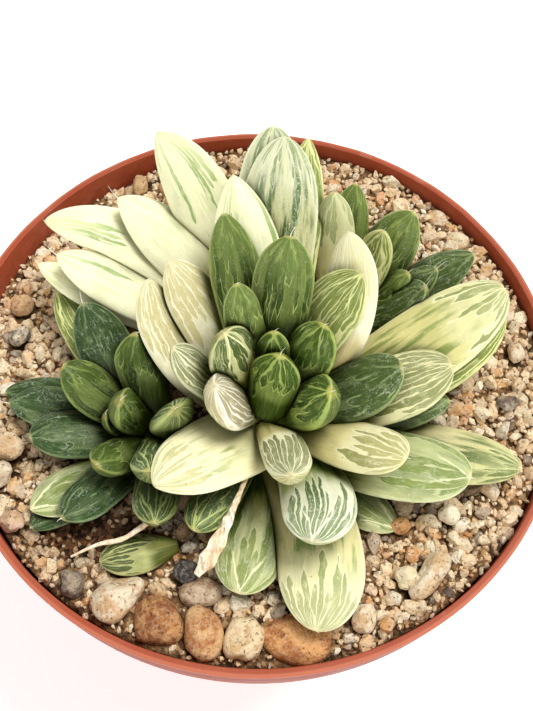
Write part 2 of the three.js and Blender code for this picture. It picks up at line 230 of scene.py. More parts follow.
def tone(red, green, blue):
    """A colour as a screen shows it, 0 to 255, as the linear value that a shader takes."""
    linear = []
    for part in (red, green, blue):
        linear.append(part / 255 / 12.92 if part <= 10 else ((part / 255 + 0.055) / 1.055) ** 2.4)
    return (*linear, 1.0)


def body(name, points, faces, finish):
    """A mesh in the scene from points in millimetres, with its faces turned outwards."""
    mesh = bpy.data.meshes.new(name)
    mesh.from_pydata((np.asarray(points) * MM).tolist(), [], faces)
    shape = bmesh.new()
    shape.from_mesh(mesh)
    bmesh.ops.recalc_face_normals(shape, faces=shape.faces)
    shape.to_mesh(mesh)
    shape.free()
    mesh.shade_smooth()
    mesh.materials.append(finish)
    piece = bpy.data.objects.new(name, mesh)
    bpy.context.scene.collection.objects.link(piece)
    return piece


def note(piece, name, values, kind="FLOAT"):
    """Keeps a value for each point of the piece, which its finish can read by that name."""
    field = {"FLOAT": "value", "FLOAT_VECTOR": "vector", "FLOAT_COLOR": "color"}[kind]
    piece.data.attributes.new(name, kind, "POINT").data.foreach_set(field, np.ravel(values))


def finished(piece):
    """The piece with its modifiers worked into a plain mesh."""
    evaluated = piece.evaluated_get(bpy.context.evaluated_depsgraph_get())
    mesh = bpy.data.meshes.new_from_object(evaluated)
    piece.modifiers.clear()
    piece.data = mesh
    return piece


def arc(x, z, radius, start, end, steps=5):
    """Points on a round edge, between two angles in degrees."""
    turns = [math.radians(start + (end - start) * k / steps) for k in range(steps + 1)]
    return [(x + radius * math.cos(a), z + radius * math.sin(a)) for a in turns]


# The pot's sizes in millimetres: radii from the axis, and heights above the table.
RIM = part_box("pot")[1].x / MM
POT_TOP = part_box("pot")[1].z / MM
LIP_W = 1.4
LIP_H = 2.0
COLLAR = 54.6
COLLAR_FOOT = POT_TOP - LIP_H - 9.0
COLLAR_IN = 0.4
WALL_TOP = 53.4
FOOT = 38.0
WALL = 1.2
FLOOR = 2.0
FLOOR_MIDDLE = 18
FOOT_IN = FOOT - 3.0
EDGE_ROUND = 0.5
RIM_ROUND = 0.3
INNER_ROUND = 0.22
WALL_RINGS = 12
POT_STEPS = 160
DRAIN, DRAIN_RING, DRAINS, DRAIN_SIDES = 3.0, 21.0, 6, 28

pot_outside = [(0, FLOOR), (FLOOR_MIDDLE, FLOOR), (FOOT_IN, FLOOR), (FOOT_IN + 0.4, 0)]
pot_outside += [(FOOT - EDGE_ROUND, 0)] + arc(FOOT - EDGE_ROUND, EDGE_ROUND, EDGE_ROUND, -80, 0, 3)
for k in range(1, WALL_RINGS):
    pot_outside.append((FOOT + (WALL_TOP - FOOT) * k / WALL_RINGS, COLLAR_FOOT * k / WALL_RINGS))
pot_outside += [(WALL_TOP, COLLAR_FOOT), (COLLAR - 0.8, COLLAR_FOOT + 0.5), (COLLAR - 0.5, COLLAR_FOOT + 1)]
pot_outside += [(COLLAR - 0.2, COLLAR_FOOT + 5), (COLLAR, POT_TOP - LIP_H - 0.2)]
pot_outside += arc(RIM - EDGE_ROUND, POT_TOP - LIP_H + EDGE_ROUND, EDGE_ROUND, -90, 0, 3)
pot_outside += arc(RIM - RIM_ROUND, POT_TOP - RIM_ROUND, RIM_ROUND, 0, 90)
pot_inside = arc(RIM - LIP_W + INNER_ROUND, POT_TOP - INNER_ROUND, INNER_ROUND, 90, 180)
pot_inside += [(RIM - LIP_W - COLLAR_IN, COLLAR_FOOT + 2.6)]
pot_inside += [(WALL_TOP - WALL, COLLAR_FOOT), (FOOT - WALL + 0.5, FLOOR + WALL)]
pot_inside += [(FLOOR_MIDDLE, FLOOR + WALL), (0, FLOOR + WALL)]


def turned_body(name, profile, steps, finish):
    """A round body whose outline starts and ends on the axis."""
    angles = [2 * math.pi * k / steps for k in range(steps)]
    points = [(r * math.cos(a), r * math.sin(a), z) for a in angles for r, z in profile[1:-1]]
    points += [(0, 0, profile[0][1]), (0, 0, profile[-1][1])]
    count = len(profile) - 2
    faces = []
    for k in range(steps):
        here, there = k * count, (k + 1) % steps * count
        faces += [(here + i, there + i, there + i + 1, here + i + 1) for i in range(count - 1)]
        faces.append((len(points) - 2, there, here))
        faces.append((len(points) - 1, here + count - 1, there + count - 1))
    return body(name, points, faces, finish)


def pot_plastic():
    finish = Finish("pot_plastic", Specular_IOR_Level=0.2)
    place = finish.place()
    cloudy = finish.noise(finish.scaled(place, (1, 1, 0.4)), 16, 2.0)
    grain = finish.noise(place, 0.7, 2.0)
    dust = finish.noise(place, 9, 2.0, 0.5).rise(0.35, 0.8)
    x, y, height = finish.parts(place)
    radius = finish.node("ShaderNodeMath", {0: x * x + y * y}, operation="SQRT")
    soiled = height.rise(POT_TOP - 1.2, POT_TOP - 4.5)
    soiled = soiled * finish.noise(place, 1.6, 4.0, 0.65).rise(0.42, 0.62)
    scratch = finish.noise(finish.scaled(place, (0.5, 0.5, 9)), 3, 2.0).rise(0.64, 0.72)
    colour = finish.mixed(cloudy, tone(152, 66, 40), tone(162, 74, 46))
    colour = finish.mixed(grain.rise(0.3, 0.8) * 0.08, colour, tone(204, 116, 84))
    colour = finish.mixed(dust * 0.08, colour, tone(222, 164, 134))
    colour = finish.mixed(scratch * 0.1, colour, tone(228, 176, 156))
    inner = finish.mark("inside")
    colour = finish.mixed(inner * soiled * 0.6, colour, tone(112, 66, 44))
    # Painted highlight: a lighter band along the top of the lip, where the light falls on it.
    lip_highlight = abs(radius - (RIM - 0.25)).rise(0.5, 0.1) * height.rise(POT_TOP - 1.2, POT_TOP - 0.4)
    colour = finish.mixed(lip_highlight * 0.35, colour, tone(226, 142, 108))
    # Painted shade: the outer wall is darker just under the lip, which overhangs it.
    shade_under_lip = height.rise(POT_TOP - 1.0, POT_TOP - 1.7) * (1 - inner)
    shade_under_lip = shade_under_lip * height.rise(POT_TOP - 16, POT_TOP - 4)
    colour = finish.mixed(shade_under_lip * 0.5, colour, tone(104, 42, 26))
    foot = finish.noise(place, 14, 4.0, 0.6)
    colour = finish.mixed(height.rise(24, 0) * foot.rise(0.4, 0.7) * 0.35, colour, tone(206, 160, 132))
    return finish.coat(colour, 0.46 + dust * 0.14 + grain * 0.06, grain * 0.12, 0.1)


pot = turned_body("pot_shell", pot_outside + pot_inside, POT_STEPS, pot_plastic())
drills = bmesh.new()
for k in range(DRAINS):
    turn = 2 * math.pi * k / DRAINS
    spot = Vector((DRAIN_RING * math.cos(turn), DRAIN_RING * math.sin(turn), FLOOR)) * MM
    bmesh.ops.create_cone(drills, cap_ends=True, segments=DRAIN_SIDES, radius1=DRAIN * MM,
                          radius2=DRAIN * MM, depth=6 * WALL * MM, matrix=Matrix.Translation(spot))
drill_mesh = bpy.data.meshes.new("drills")
drills.to_mesh(drill_mesh)
drills.free()
drill = bpy.data.objects.new("drills", drill_mesh)
bpy.context.scene.collection.objects.link(drill)
cut = pot.modifiers.new("drainage", "BOOLEAN")
cut.operation = "DIFFERENCE"
cut.object = drill
cut.solver = "EXACT"
finished(pot)
bpy.data.objects.remove(drill)
# The lip isn't quite level: it waves by a tenth of a millimetre.
for vertex in pot.data.vertices:
    turn = math.atan2(vertex.co.y, vertex.co.x)
    lip = min(1.0, max(0.0, (vertex.co.z / MM - POT_TOP + 3) / 2))
    uneven = 0.06 * math.sin(7 * turn + 1) + 0.05 * math.sin(17 * turn) + 0.03 * math.sin(41 * turn + 2)
    vertex.co.z += lip * (uneven - 0.12) * MM
inside = []
for vertex in pot.data.vertices:
    radius, height = math.hypot(vertex.co.x, vertex.co.y) / MM, vertex.co.z / MM
    inside.append(1.0 if radius < RIM - LIP_W + 0.3 and height > COLLAR_FOOT + 1.5 else 0.0)
note(pot, "inside", inside)
pot.data.shade_smooth()
pot.data.set_sharp_from_angle(angle=math.radians(38))
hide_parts("pot")
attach(pot, "root")


# Potting mix: bark, peat and pumice fines that fill the pot and hold the roots. It shows only in the
# drainage holes and between the stones of the grit.
def potting_mix():
    finish = Finish("potting_mix", Specular_IOR_Level=0.2)
    place = finish.place()
    crumb = finish.node("ShaderNodeTexVoronoi", {"Vector": place, "Scale": 0.9})
    shade = finish.noise(place, 1.2, 5.0, 0.7)
    flecks = finish.noise(place, 0.8, 2.0).rise(0.66, 0.72)
    colour = finish.mixed(shade.rise(0.3, 0.7), tone(26, 16, 9), tone(84, 56, 36))
    colour = finish.mixed(flecks, colour, tone(176, 150, 112))
    return finish.coat(colour, 0.85 + 0.1 * shade, crumb * -0.6 + shade, 0.8)


mix_finish = potting_mix()
frame["nodes"]["potting_mix"].data.materials.clear()
frame["nodes"]["potting_mix"].data.materials.append(mix_finish)


# Stems and roots: short, pale green pegs with thick roots, hidden under the leaves and in the mix. The main
# stem has divided into two heads.
def stem_skin():
    finish = Finish("stem_skin", Specular_IOR_Level=0.3)
    place = finish.place()
    rings = finish.noise(finish.scaled(place, (0.4, 0.4, 2.2)), 1.5, 3.0)
    spots = finish.noise(place, 1.1, 3.0)
    height = finish.parts(place)[2]
    colour = finish.mixed(rings, tone(96, 104, 40), tone(150, 150, 84))
    colour = finish.mixed(height.rise(82, 74), colour, tone(176, 150, 112))
    colour = finish.mixed(spots.rise(0.6, 0.7) * 0.5, colour, tone(104, 78, 50))
    return finish.coat(colour, 0.55 + 0.2 * rings, rings, 0.3)


def swept(name, route, widths, heights, finish, rings=70, sides=18, crumple=0.0, seed=0.0):
    """A closed cord or strip along a smooth route, its widths and heights given at even steps along it."""
    route = np.array(route, float)
    padded = np.vstack([2 * route[0] - route[1], route, 2 * route[-1] - route[-2]])
    centres = []
    for t in np.linspace(0, len(route) - 1, rings):
        i = min(int(t), len(route) - 2)
        p0, p1, p2, p3 = padded[i:i + 4]
        f = t - i
        centres.append(0.5 * (2 * p1 + (p2 - p0) * f + (2 * p0 - 5 * p1 + 4 * p2 - p3) * f ** 2
                              + (3 * p1 - p0 - 3 * p2 + p3) * f ** 3))
    centres = np.array(centres)
    forward = unit(np.gradient(centres, axis=0))
    left = unit(np.cross(forward, [0, 0, 1.0]))
    top = np.cross(left, forward)
    share = np.linspace(0, 1, rings)
    wide = np.interp(share, np.linspace(0, 1, len(widths)), widths) / 2
    high = np.interp(share, np.linspace(0, 1, len(heights)), heights) / 2
    turn = 2 * np.pi * np.arange(sides) / sides
    out = np.cos(turn)[None] * wide[:, None]
    lift = np.sin(turn)[None] * high[:, None]
    along = share[:, None]
    fold = np.sin(out * 1.9 + 3 * np.sin(along * 9 + seed)) * np.sin(along * 19 + seed + out)
    fold = fold + 0.5 * np.sin(along * 47 + out * 3 + 2 * np.sin(along * 13))
    fold = fold + 0.3 * np.sin(along * 83 - out * 5)
    lift = lift + crumple * fold * np.sin(np.pi * along) ** 0.5
    out = out * (1 + 0.35 * crumple * np.sin(along * 37 + seed))
    points = centres[:, None] + left[:, None] * out[..., None] + top[:, None] * lift[..., None]
    points = np.vstack([points.reshape(-1, 3), centres[0], centres[-1]])
    return body(name, points, tube_faces(rings, sides), finish)


def tube_faces(rings, sides):
    """The faces of a closed tube: its points ring by ring, and then the middles of its two ends."""
    faces = []
    for k in range(sides):
        there = (k + 1) % sides
        for here in range(0, (rings - 1) * sides, sides):
            faces.append((here + k, here + there, here + sides + there, here + sides + k))
        last = (rings - 1) * sides
        faces.append((rings * sides, there, k))
        faces.append((rings * sides + 1, last + k, last + there))
    return faces


def unit(vector):
    return vector / np.linalg.norm(vector, axis=-1, keepdims=True)


def one_piece(name, pieces):
    """The pieces joined into the first of them, which takes that name."""
    with bpy.context.temp_override(active_object=pieces[0], selected_editable_objects=pieces):
        bpy.ops.object.join()
    pieces[0].name = name
    return pieces[0]


# The heads of the stems: centre x y, radius, top, and how far from the centre the leaves start. The loose
# one is only the spot where a single leaf comes up. Then the roots of each head: direction (degrees), reach
# and depth.
STEMS = {
    "main": (2, -12, 4.2, 86.5, 2.4),
    "cream": (-5, 6, 3.6, 83, 1.8),
    "left": (-17, -14, 3.2, 81.5, 1.6),
    "back": (15, 11, 3.2, 80, 1.6),
    "loose": (-12, -33.5, 0, 0, 0),
}
ROOTS = {
    "main": [(-60, 26, 30), (70, 24, 34), (185, 20, 26)],
    "left": [(170, 15, 24)],
    "back": [(40, 17, 25)],
}
STEM_FOOT = 66
stem_finish = stem_skin()
for name, heads in (("stem_main", ("main", "cream")), ("stem_left", ("left",)), ("stem_back", ("back",))):
    parts = []
    for head in heads:
        x, y, radius, top, _ = STEMS[head]
        outline = [(0, STEM_FOOT), (radius * 0.8, STEM_FOOT), (radius, STEM_FOOT + 3), (radius, top - 3)]
        outline += [(radius * 0.75, top - 0.8), (0, top)]
        peg = turned_body("peg", outline, 32, stem_finish)
        peg.data.transform(Matrix.Translation(Vector((x, y, 0)) * MM))
        parts.append(peg)
        for turn, reach, drop in ROOTS.get(head, []):
            dx, dy = math.cos(math.radians(turn)), math.sin(math.radians(turn))
            route = [(x, y, STEM_FOOT + 4)]
            for far, down in ((0.35, 2), (0.75, drop * 0.5), (1, drop)):
                route.append((x + dx * reach * far, y + dy * reach * far, STEM_FOOT - down))
            thick = [2.6, 2.4, 1.6]
            parts.append(swept("root", route, thick, thick, stem_finish, rings=40, sides=12))
    if len(heads) > 1:
        x1, y1 = STEMS["main"][:2]
        x2, y2 = STEMS["cream"][:2]
        fork = [(x1, y1, STEM_FOOT + 4), ((x1 + x2) / 2, (y1 + y2) / 2, STEM_FOOT + 5),
                (x2, y2, STEM_FOOT + 5)]
        parts.append(swept("fork", fork, [6, 6], [6, 6], stem_finish, rings=20, sides=20))
    stem = one_piece(name + "_grown", parts)
    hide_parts(name)
    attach(stem, "root")


# Leaves: firm, water-filled and boat-shaped, flat above and deep below. The end of each one is a window of
# clear cells between veins that run together at the tip. A leaf is pressed to shape by those before it.

# Number, stem, side of the stem that it leaves from (degrees), height there, tip x y z, width, thickness,
# sag, swing to the side, neck (the foot's share of the width), the share of the length where it is widest,
# how bluntly it ends (less is blunter), kind, and length of the bristle at the tip.
LEAVES = [
    ("34", "main", -100, 91.5, 3.6, -8.4, 102.2, 8.6, 6, 0.3, 0, 0.75, 0.6, 0.7, "fresh", 2.2),
    ("37", "main", -35, 91, 12, -14, 101.2, 9.4, 6.5, 1, 0, 0.6, 0.62, 0.66, "fresh", 0.3),
    ("35", "main", 84, 92, 2.5, -4.0, 102.0, 5.5, 4.0, 0.5, 0, 0.6, 0.65, 0.65, "fresh", 1.2),
    ("28", "main", -140, 90, -6.5, -15, 103, 9.4, 5.5, 1, 0, 0.35, 0.52, 0.68, "netted", 0.4),
    ("30", "main", 150, 91, -5.5, -6.5, 105, 9.5, 5.5, 1, 0, 0.6, 0.65, 0.58, "crested", 0.4),
    ("36", "main", 20, 91, 10.6, -2.8, 103, 9, 6, 1, 0, 0.5, 0.62, 0.66, "fresh", 0.4),
    ("31", "main", 114, 90, -4, 1, 108, 6.8, 4.5, 1, 0, 0.6, 0.65, 0.66, "green", 0.5),
    ("27", "main", -80, 90, 6, -28.5, 101, 7.8, 5.5, 1.5, -0.8, 0.75, 0.6, 0.66, "caged", 0.3),
    ("32", "main", 82, 89, 4.3, 9.2, 110.3, 10.5, 5.5, 1.5, -0.3, 0.6, 0.65, 0.66, "green", 2.2),
    ("29", "main", 180, 88, -13.8, -8, 102, 7, 4.5, 1.5, 0, 0.6, 0.65, 0.68, "caged", 0.3),
    ("33", "main", 111, 88, -7, 15.5, 107, 9.2, 5, 2, 0.3, 0.6, 0.6, 0.7, "green", 0.6),
    ("10", "main", 50, 88, 16.5, 6, 105, 10.5, 5, 2, -1.8, 0.6, 0.65, 0.66, "veined", 0.4),
    ("02", "main", 105, 87, -6, 24.5, 106, 12, 5.5, 2, 1, 0.6, 0.58, 0.78, "cream", 0.4),
    ("16", "main", 20, 86, 24, -7.3, 98, 11, 6, 2, 0, 0.6, 0.65, 0.55, "blue", 0.3),
    ("19", "main", -26, 86, 24.5, -22.6, 96, 9.5, 5, 1.5, -0.5, 0.6, 0.68, 0.46, "paned", 0.3),
    ("09", "main", 20, 86, 14, 13.8, 106, 9.5, 4.5, 3, 4.7, 0.6, 0.68, 0.7, "laced", 0.3),
    ("59", "main", 140, 86, -16, 8.7, 102, 10, 5, 3, 1.2, 0.5, 0.65, 0.72, "ivory", 0.3),
    ("58", "main", 160, 85, -19.3, 5.8, 100.5, 8.5, 5, 4, -3, 0.6, 0.65, 0.66, "ivory", 0.3),
    ("26", "main", -60, 86, -15.3, -29, 95, 13.4, 5.5, 0, 0.7, 0.85, 0.45, 0.72, "clouded", 0.3),
    ("04", "main", 80, 81, 7, 37, 102, 8.5, 5, 2, 0.5, 0.6, 0.65, 0.7, "veined", 0.5),
    ("03", "main", 90, 82, 2.6, 31, 109, 13.3, 6, 2.5, 0, 0.6, 0.7, 0.58, "tinged", 0.4),
    ("17", "main", 8, 84, 33, -4.3, 94, 12, 5.5, 2, 0, 0.6, 0.65, 0.46, "latticed", 0.3),
    ("18", "main", 0, 81, 34, -7, 86, 7.5, 5, 1, 0, 0.6, 0.65, 0.6, "blue", 0.3),
    ("14", "main", 15, 82, 42.5, 10.5, 96, 14.5, 5.5, 2, 0.6, 0.6, 0.65, 0.5, "smeared", 0.3),
    ("23", "main", -60, 82.5, 9.8, -36.5, 94, 12.3, 6, 2, -4, 0.6, 0.68, 0.55, "frosted", 0.5),
    ("20", "main", -25, 81, 36, -23, 90, 13, 5, 1.5, 0, 0.6, 0.65, 0.5, "grainy", 0.4),
    ("63", "main", 92, 79, 0.6, 35, 107, 13.3, 5.5, 2.5, 0, 0.6, 0.68, 0.58, "tinged", 0.4),
    ("15", "main", 10, 80, 43.5, 9.5, 90, 12, 5, 1.5, 2.5, 0.6, 0.65, 0.6, "veined", 0.3),
    ("56", "main", -140, 81, -9, -33.3, 87, 8, 5.5, 1, 0, 0.6, 0.65, 0.55, "barred", 0.4),
    ("24", "main", -50, 80, 11.3, -48, 85, 14.8, 6, 1, -3.8, 0.6, 0.6, 0.5, "barred_cream", 0.4),
    ("25", "main", -95, 79, -1.2, -42.4, 84, 11.5, 5.5, 1, -0.8, 0.6, 0.68, 0.5, "mossy", 0.4),
    ("21", "main", -10, 79, 46, -18.2, 84, 10.5, 4.5, 0.5, -1, 0.6, 0.65, 0.5, "striped", 0.3),
    ("22", "main", -45, 79, 25, -29, 80, 8, 3.5, 0.5, 0, 0.6, 0.65, 0.6, "mossy", 0.3),
    ("39", "cream", 125, 81.5, -27, 25, 97, 10.7, 5, 0, 2.5, 0.6, 0.6, 0.75, "cream", 3.0),
    ("40", "cream", 167, 80.5, -37, 14, 94, 10.3, 5, 1, 0.7, 0.6, 0.6, 0.72, "cream", 3.2),
    ("01", "cream", 110, 77, -20, 33, 106, 12.4, 5.5, 2, 4.6, 0.6, 0.6, 0.7, "cream", 0.4),
    ("38", "cream", 140, 80, -40.2, 21.2, 94, 11, 5, -2, 5.7, 0.6, 0.6, 0.72, "cream", 0.5),
    ("41", "cream", 170, 80.5, -41, 14.5, 90, 8, 4.5, 1, -0.5, 0.6, 0.6, 0.7, "cream", 1.2),
    ("50", "left", 60, 84, -13, -15.8, 95.5, 8.7, 5.5, 0.5, 0, 0.6, 0.65, 0.58, "barred", 0.5),
    ("51", "left", -60, 84, -16.2, -26.3, 94, 7.7, 5.5, 1, 0, 0.6, 0.65, 0.58, "barred", 0.5),
    ("48", "left", 166, 83, -22.7, -13, 92, 7.5, 5, 1, 0, 0.6, 0.65, 0.66, "dusky", 2.4),
    ("44", "left", 110, 82, -21, -1.4, 94.6, 9.3, 5.5, 2, 0, 0.6, 0.65, 0.66, "dusky", 0.5),
    ("49", "left", 174, 81, -25.5, -14, 88, 5, 4, 1, 0, 0.6, 0.65, 0.6, "dusky", 2.2),
    ("45", "left", 151, 81, -33.4, -6.5, 91, 8.6, 5.5, 1.5, 0, 0.6, 0.65, 0.66, "dusky", 0.5),
    ("43", "left", 126, 79, -31.5, 5.6, 92, 10, 5, 2, 0, 0.6, 0.65, 0.7, "inky", 3.2),
    ("42", "left", 128, 79, -38, 12, 85, 8, 4.5, 1, 0, 0.6, 0.65, 0.7, "veined", 0.6),
    ("47", "left", 180, 79, -38.5, -17.7, 85, 9.4, 5.5, 1, 1.2, 0.6, 0.65, 0.66, "inky", 0.4),
    ("52", "left", -144, 82, -25.7, -24, 90, 7.2, 5, 1, 0, 0.6, 0.65, 0.58, "dusky", 0.5),
    ("53", "left", -133, 79, -31, -31.8, 85, 8, 5, 1, 0, 0.6, 0.65, 0.7, "inky", 2.0),
    ("55", "left", -85, 81, -15.3, -32.8, 88, 8, 5.5, 1, 0, 0.6, 0.65, 0.66, "barred", 0.6),
    ("54", "left", -147, 78.5, -37, -29.5, 82, 8.6, 4.5, 1, 0, 0.6, 0.65, 0.7, "mossy", 0.4),
    ("46", "left", 160, 78.5, -44, -10, 82, 8.5, 5, 1, 1.7, 0.6, 0.65, 0.7, "inky", 2.0),
    ("60", "left", -150, 78, -37, -32, 80, 7, 4, 0, 0, 0.6, 0.65, 0.6, "inky", 0.4),
    ("61", "left", 160, 78, -45.5, -7, 80, 7, 4, 0.5, 3, 0.6, 0.65, 0.6, "inky", 0.4),
    ("05", "back", 110, 79, 12, 26.5, 100, 8, 5, 2, 0, 0.6, 0.65, 0.7, "misty", 2.4),
    ("08", "back", 61, 81, 21, 20, 98, 7, 4.5, 2, 0, 0.6, 0.65, 0.7, "veined", 1.6),
    ("06", "back", 115, 79, 16.5, 33.5, 94, 8.2, 4.5, 2, -0.3, 0.5, 0.6, 0.7, "green", 0.5),
    ("07", "back", 70, 78, 27.7, 29, 92, 11, 5.5, 2, -0.8, 0.5, 0.6, 0.7, "green", 0.5),
    ("13", "back", 0, 80, 29.3, 12.2, 92.5, 8, 5, 2, 0, 0.6, 0.65, 0.7, "blue", 3.2),
    ("12", "back", 24, 79, 32, 18, 90, 6.5, 4.5, 1.5, 0, 0.6, 0.65, 0.7, "blue", 2.4),
    ("64", "back", 26, 80, 26.5, 16, 91, 6, 4.5, 1.5, 0, 0.6, 0.65, 0.6, "green", 1.6),
    ("11", "back", 35, 77.5, 39.5, 23, 88, 9, 5, 1.5, -0.7, 0.6, 0.6, 0.7, "blue", 0.5),
    ("57", "loose", 0, 79, -24.5, -37.5, 81, 7, 4, 0, 0, 0.35, 0.5, 0.6, "dark", 0.3),
]
LEAF_RINGS = 60
LEAF_SIDES = 44
# Rings lie closer together towards the tip (1 is even), and the outline closes in late (2 is as a circle).
CLOSER = 1.5
LATE = 2.4
# The share of a leaf's thickness that lies above its centre line, and the least gap to its neighbours.
UPPER = 0.38
SKIN_GAP = 0.12
# How often the search for a neighbour's skin halves the way, and how often a dent is then smoothed.
HALVINGS = 9
SMOOTHINGS = 3


class Leaf:
    """The sections of one leaf along its bowed centre line, in millimetres."""

    def __init__(self, row, seed):
        self.number, stem, side, foot, x, y, z, self.width, thick, sag, swing = row[:11]
        neck, widest, blunt, self.kind, self.bristle = row[11:]
        self.seed = seed
        stem_x, stem_y, _, _, out = STEMS[stem]
        turn = math.radians(side)
        start = np.array([stem_x + out * math.cos(turn), stem_y + out * math.sin(turn), foot])
        tip = np.array([x, y, z], float)
        along = unit(tip - start)
        left = unit(np.array([along[1], -along[0], 0]))
        face = np.cross(left, along)
        middle = (start + tip) / 2 - 2 * sag * face + 2 * swing * left
        share = 1 - (1 - np.arange(LEAF_RINGS) / LEAF_RINGS) ** CLOSER
        u = share[:, None]
        self.share = share
        self.tip = tip
        self.centre = (1 - u) ** 2 * start + 2 * u * (1 - u) * middle + u ** 2 * tip
        self.along = unit(2 * (1 - u) * (middle - start) + 2 * u * (tip - middle))
        self.up = unit(face - (self.along @ face)[:, None] * self.along)
        self.across = np.cross(self.along, self.up)
        self.length = np.linalg.norm(np.diff(self.centre, axis=0), axis=1).sum()
        beyond = np.clip((share - widest) / (1 - widest), 0, 1)
        grown = neck + (1 - neck) * np.sin(np.pi / 2 * np.minimum(1, share / widest)) ** 1.3
        self.half = self.width / 2 * np.where(share < widest, grown, (1 - beyond ** LATE) ** blunt)
        late = np.clip(2 * share - 1, 0, 1)
        swelling = 0.7 + 0.3 * np.sin(np.pi * share)
        self.deep = thick * np.where(share < 0.5, swelling, (1 - late ** LATE) ** 0.62)
        self.crest = 0.5 + 0.3 * np.clip((share - 0.25) / 0.5, 0, 1)
        self.step = np.append(np.linalg.norm(np.diff(self.centre, axis=0), axis=1),
                              np.linalg.norm(tip - self.centre[-1]))

    def heights(self, side, deep, crest):
        """How far the upper and lower skins are from the middle, where side is 0, up to the edge, 1."""
        fill = np.clip(1 - np.abs(side) ** 2.2, 0, 1)
        return UPPER * deep * fill ** (crest * 0.9), (1 - UPPER) * deep * fill ** crest

    def holds(self, points, gap):
        """Which points lie inside the leaf's skin, or nearer than the gap to it."""
        nearest = ((points[:, None] - self.centre) ** 2).sum(-1).argmin(1)
        away = points - self.centre[nearest]
        slide = (away * self.along[nearest]).sum(1) / self.step[nearest]
        other = np.clip(nearest + np.sign(slide).astype(int), 0, LEAF_RINGS - 1)
        share = np.clip(np.abs(slide), 0, 1)[:, None]
        centre = self.centre[nearest] * (1 - share) + self.centre[other] * share
        away = points - centre
        side = (away * self.across[nearest]).sum(1)
        rise = (away * self.up[nearest]).sum(1)
        share = share[:, 0]
        half = self.half[nearest] * (1 - share) + self.half[other] * share + gap
        deep = self.deep[nearest] * (1 - share) + self.deep[other] * share
        above, below = self.heights(np.minimum(1, np.abs(side) / half), deep, self.crest[nearest])
        ends = ((nearest == LEAF_RINGS - 1) & (slide > 1)) | ((nearest == 0) & (slide < -0.5))
        return (np.abs(side) < half) & (rise < above + gap) & (rise > -below - gap) & ~ends

    def skin(self, earlier):
        """The leaf's rings of points, dented where earlier leaves press on it."""
        turn = 2 * np.pi * np.arange(LEAF_SIDES) / LEAF_SIDES
        side = np.cos(turn)[None, :] * np.ones((LEAF_RINGS, 1))
        above, below = self.heights(side, self.deep[:, None], self.crest[:, None])
        ridge = np.cos(side * self.width * 1.15 + self.seed) * 0.07 * np.sin(np.pi * self.share)[:, None]
        rise = np.where(np.sin(turn) >= 0, above, -below) + np.sin(turn) * ridge
        waver = 1 + 0.025 * np.sin(9 * self.share + self.seed)[:, None]
        out = side * self.half[:, None] * waver
        spread = self.across[:, None] * out[..., None] + self.up[:, None] * rise[..., None]
        points = (self.centre[:, None] + spread).reshape(-1, 3)
        heart = np.repeat(self.centre, LEAF_SIDES, axis=0)
        spokes = points - heart
        left = np.ones(len(points))
        for other in earlier:
            low, high = other.centre.min(0) - other.width / 2, other.centre.max(0) + other.width / 2
            near = np.flatnonzero(((points > low) & (points < high)).all(1))
            if not len(near):
                continue
            hit = near[other.holds(points[near], SKIN_GAP)]
            if len(hit):
                hit = hit[~other.holds(heart[hit], SKIN_GAP)]
            if not len(hit):
                continue
            inner, outer = np.zeros(len(hit)), np.ones(len(hit))
            for _ in range(HALVINGS):
                middle = (inner + outer) / 2
                held = other.holds(heart[hit] + (points[hit] - heart[hit]) * middle[:, None], SKIN_GAP)
                inner, outer = np.where(held, inner, middle), np.where(held, middle, outer)
            left[hit] *= inner
            points[hit] = heart[hit] + spokes[hit] * left[hit, None]
        left = left.reshape(side.shape)
        worn = left
        for _ in range(SMOOTHINGS):
            worn = np.minimum(left, (2 * worn + np.roll(worn, 1, 1) + np.roll(worn, -1, 1)) / 4)
            worn[1:-1] = np.minimum(left[1:-1], (worn[:-2] + 2 * worn[1:-1] + worn[2:]) / 4)
        points = heart + spokes * worn.reshape(-1, 1)
        self.side = side
        self.lateral = out
        self.face = np.broadcast_to(np.sin(turn), side.shape)
        return points
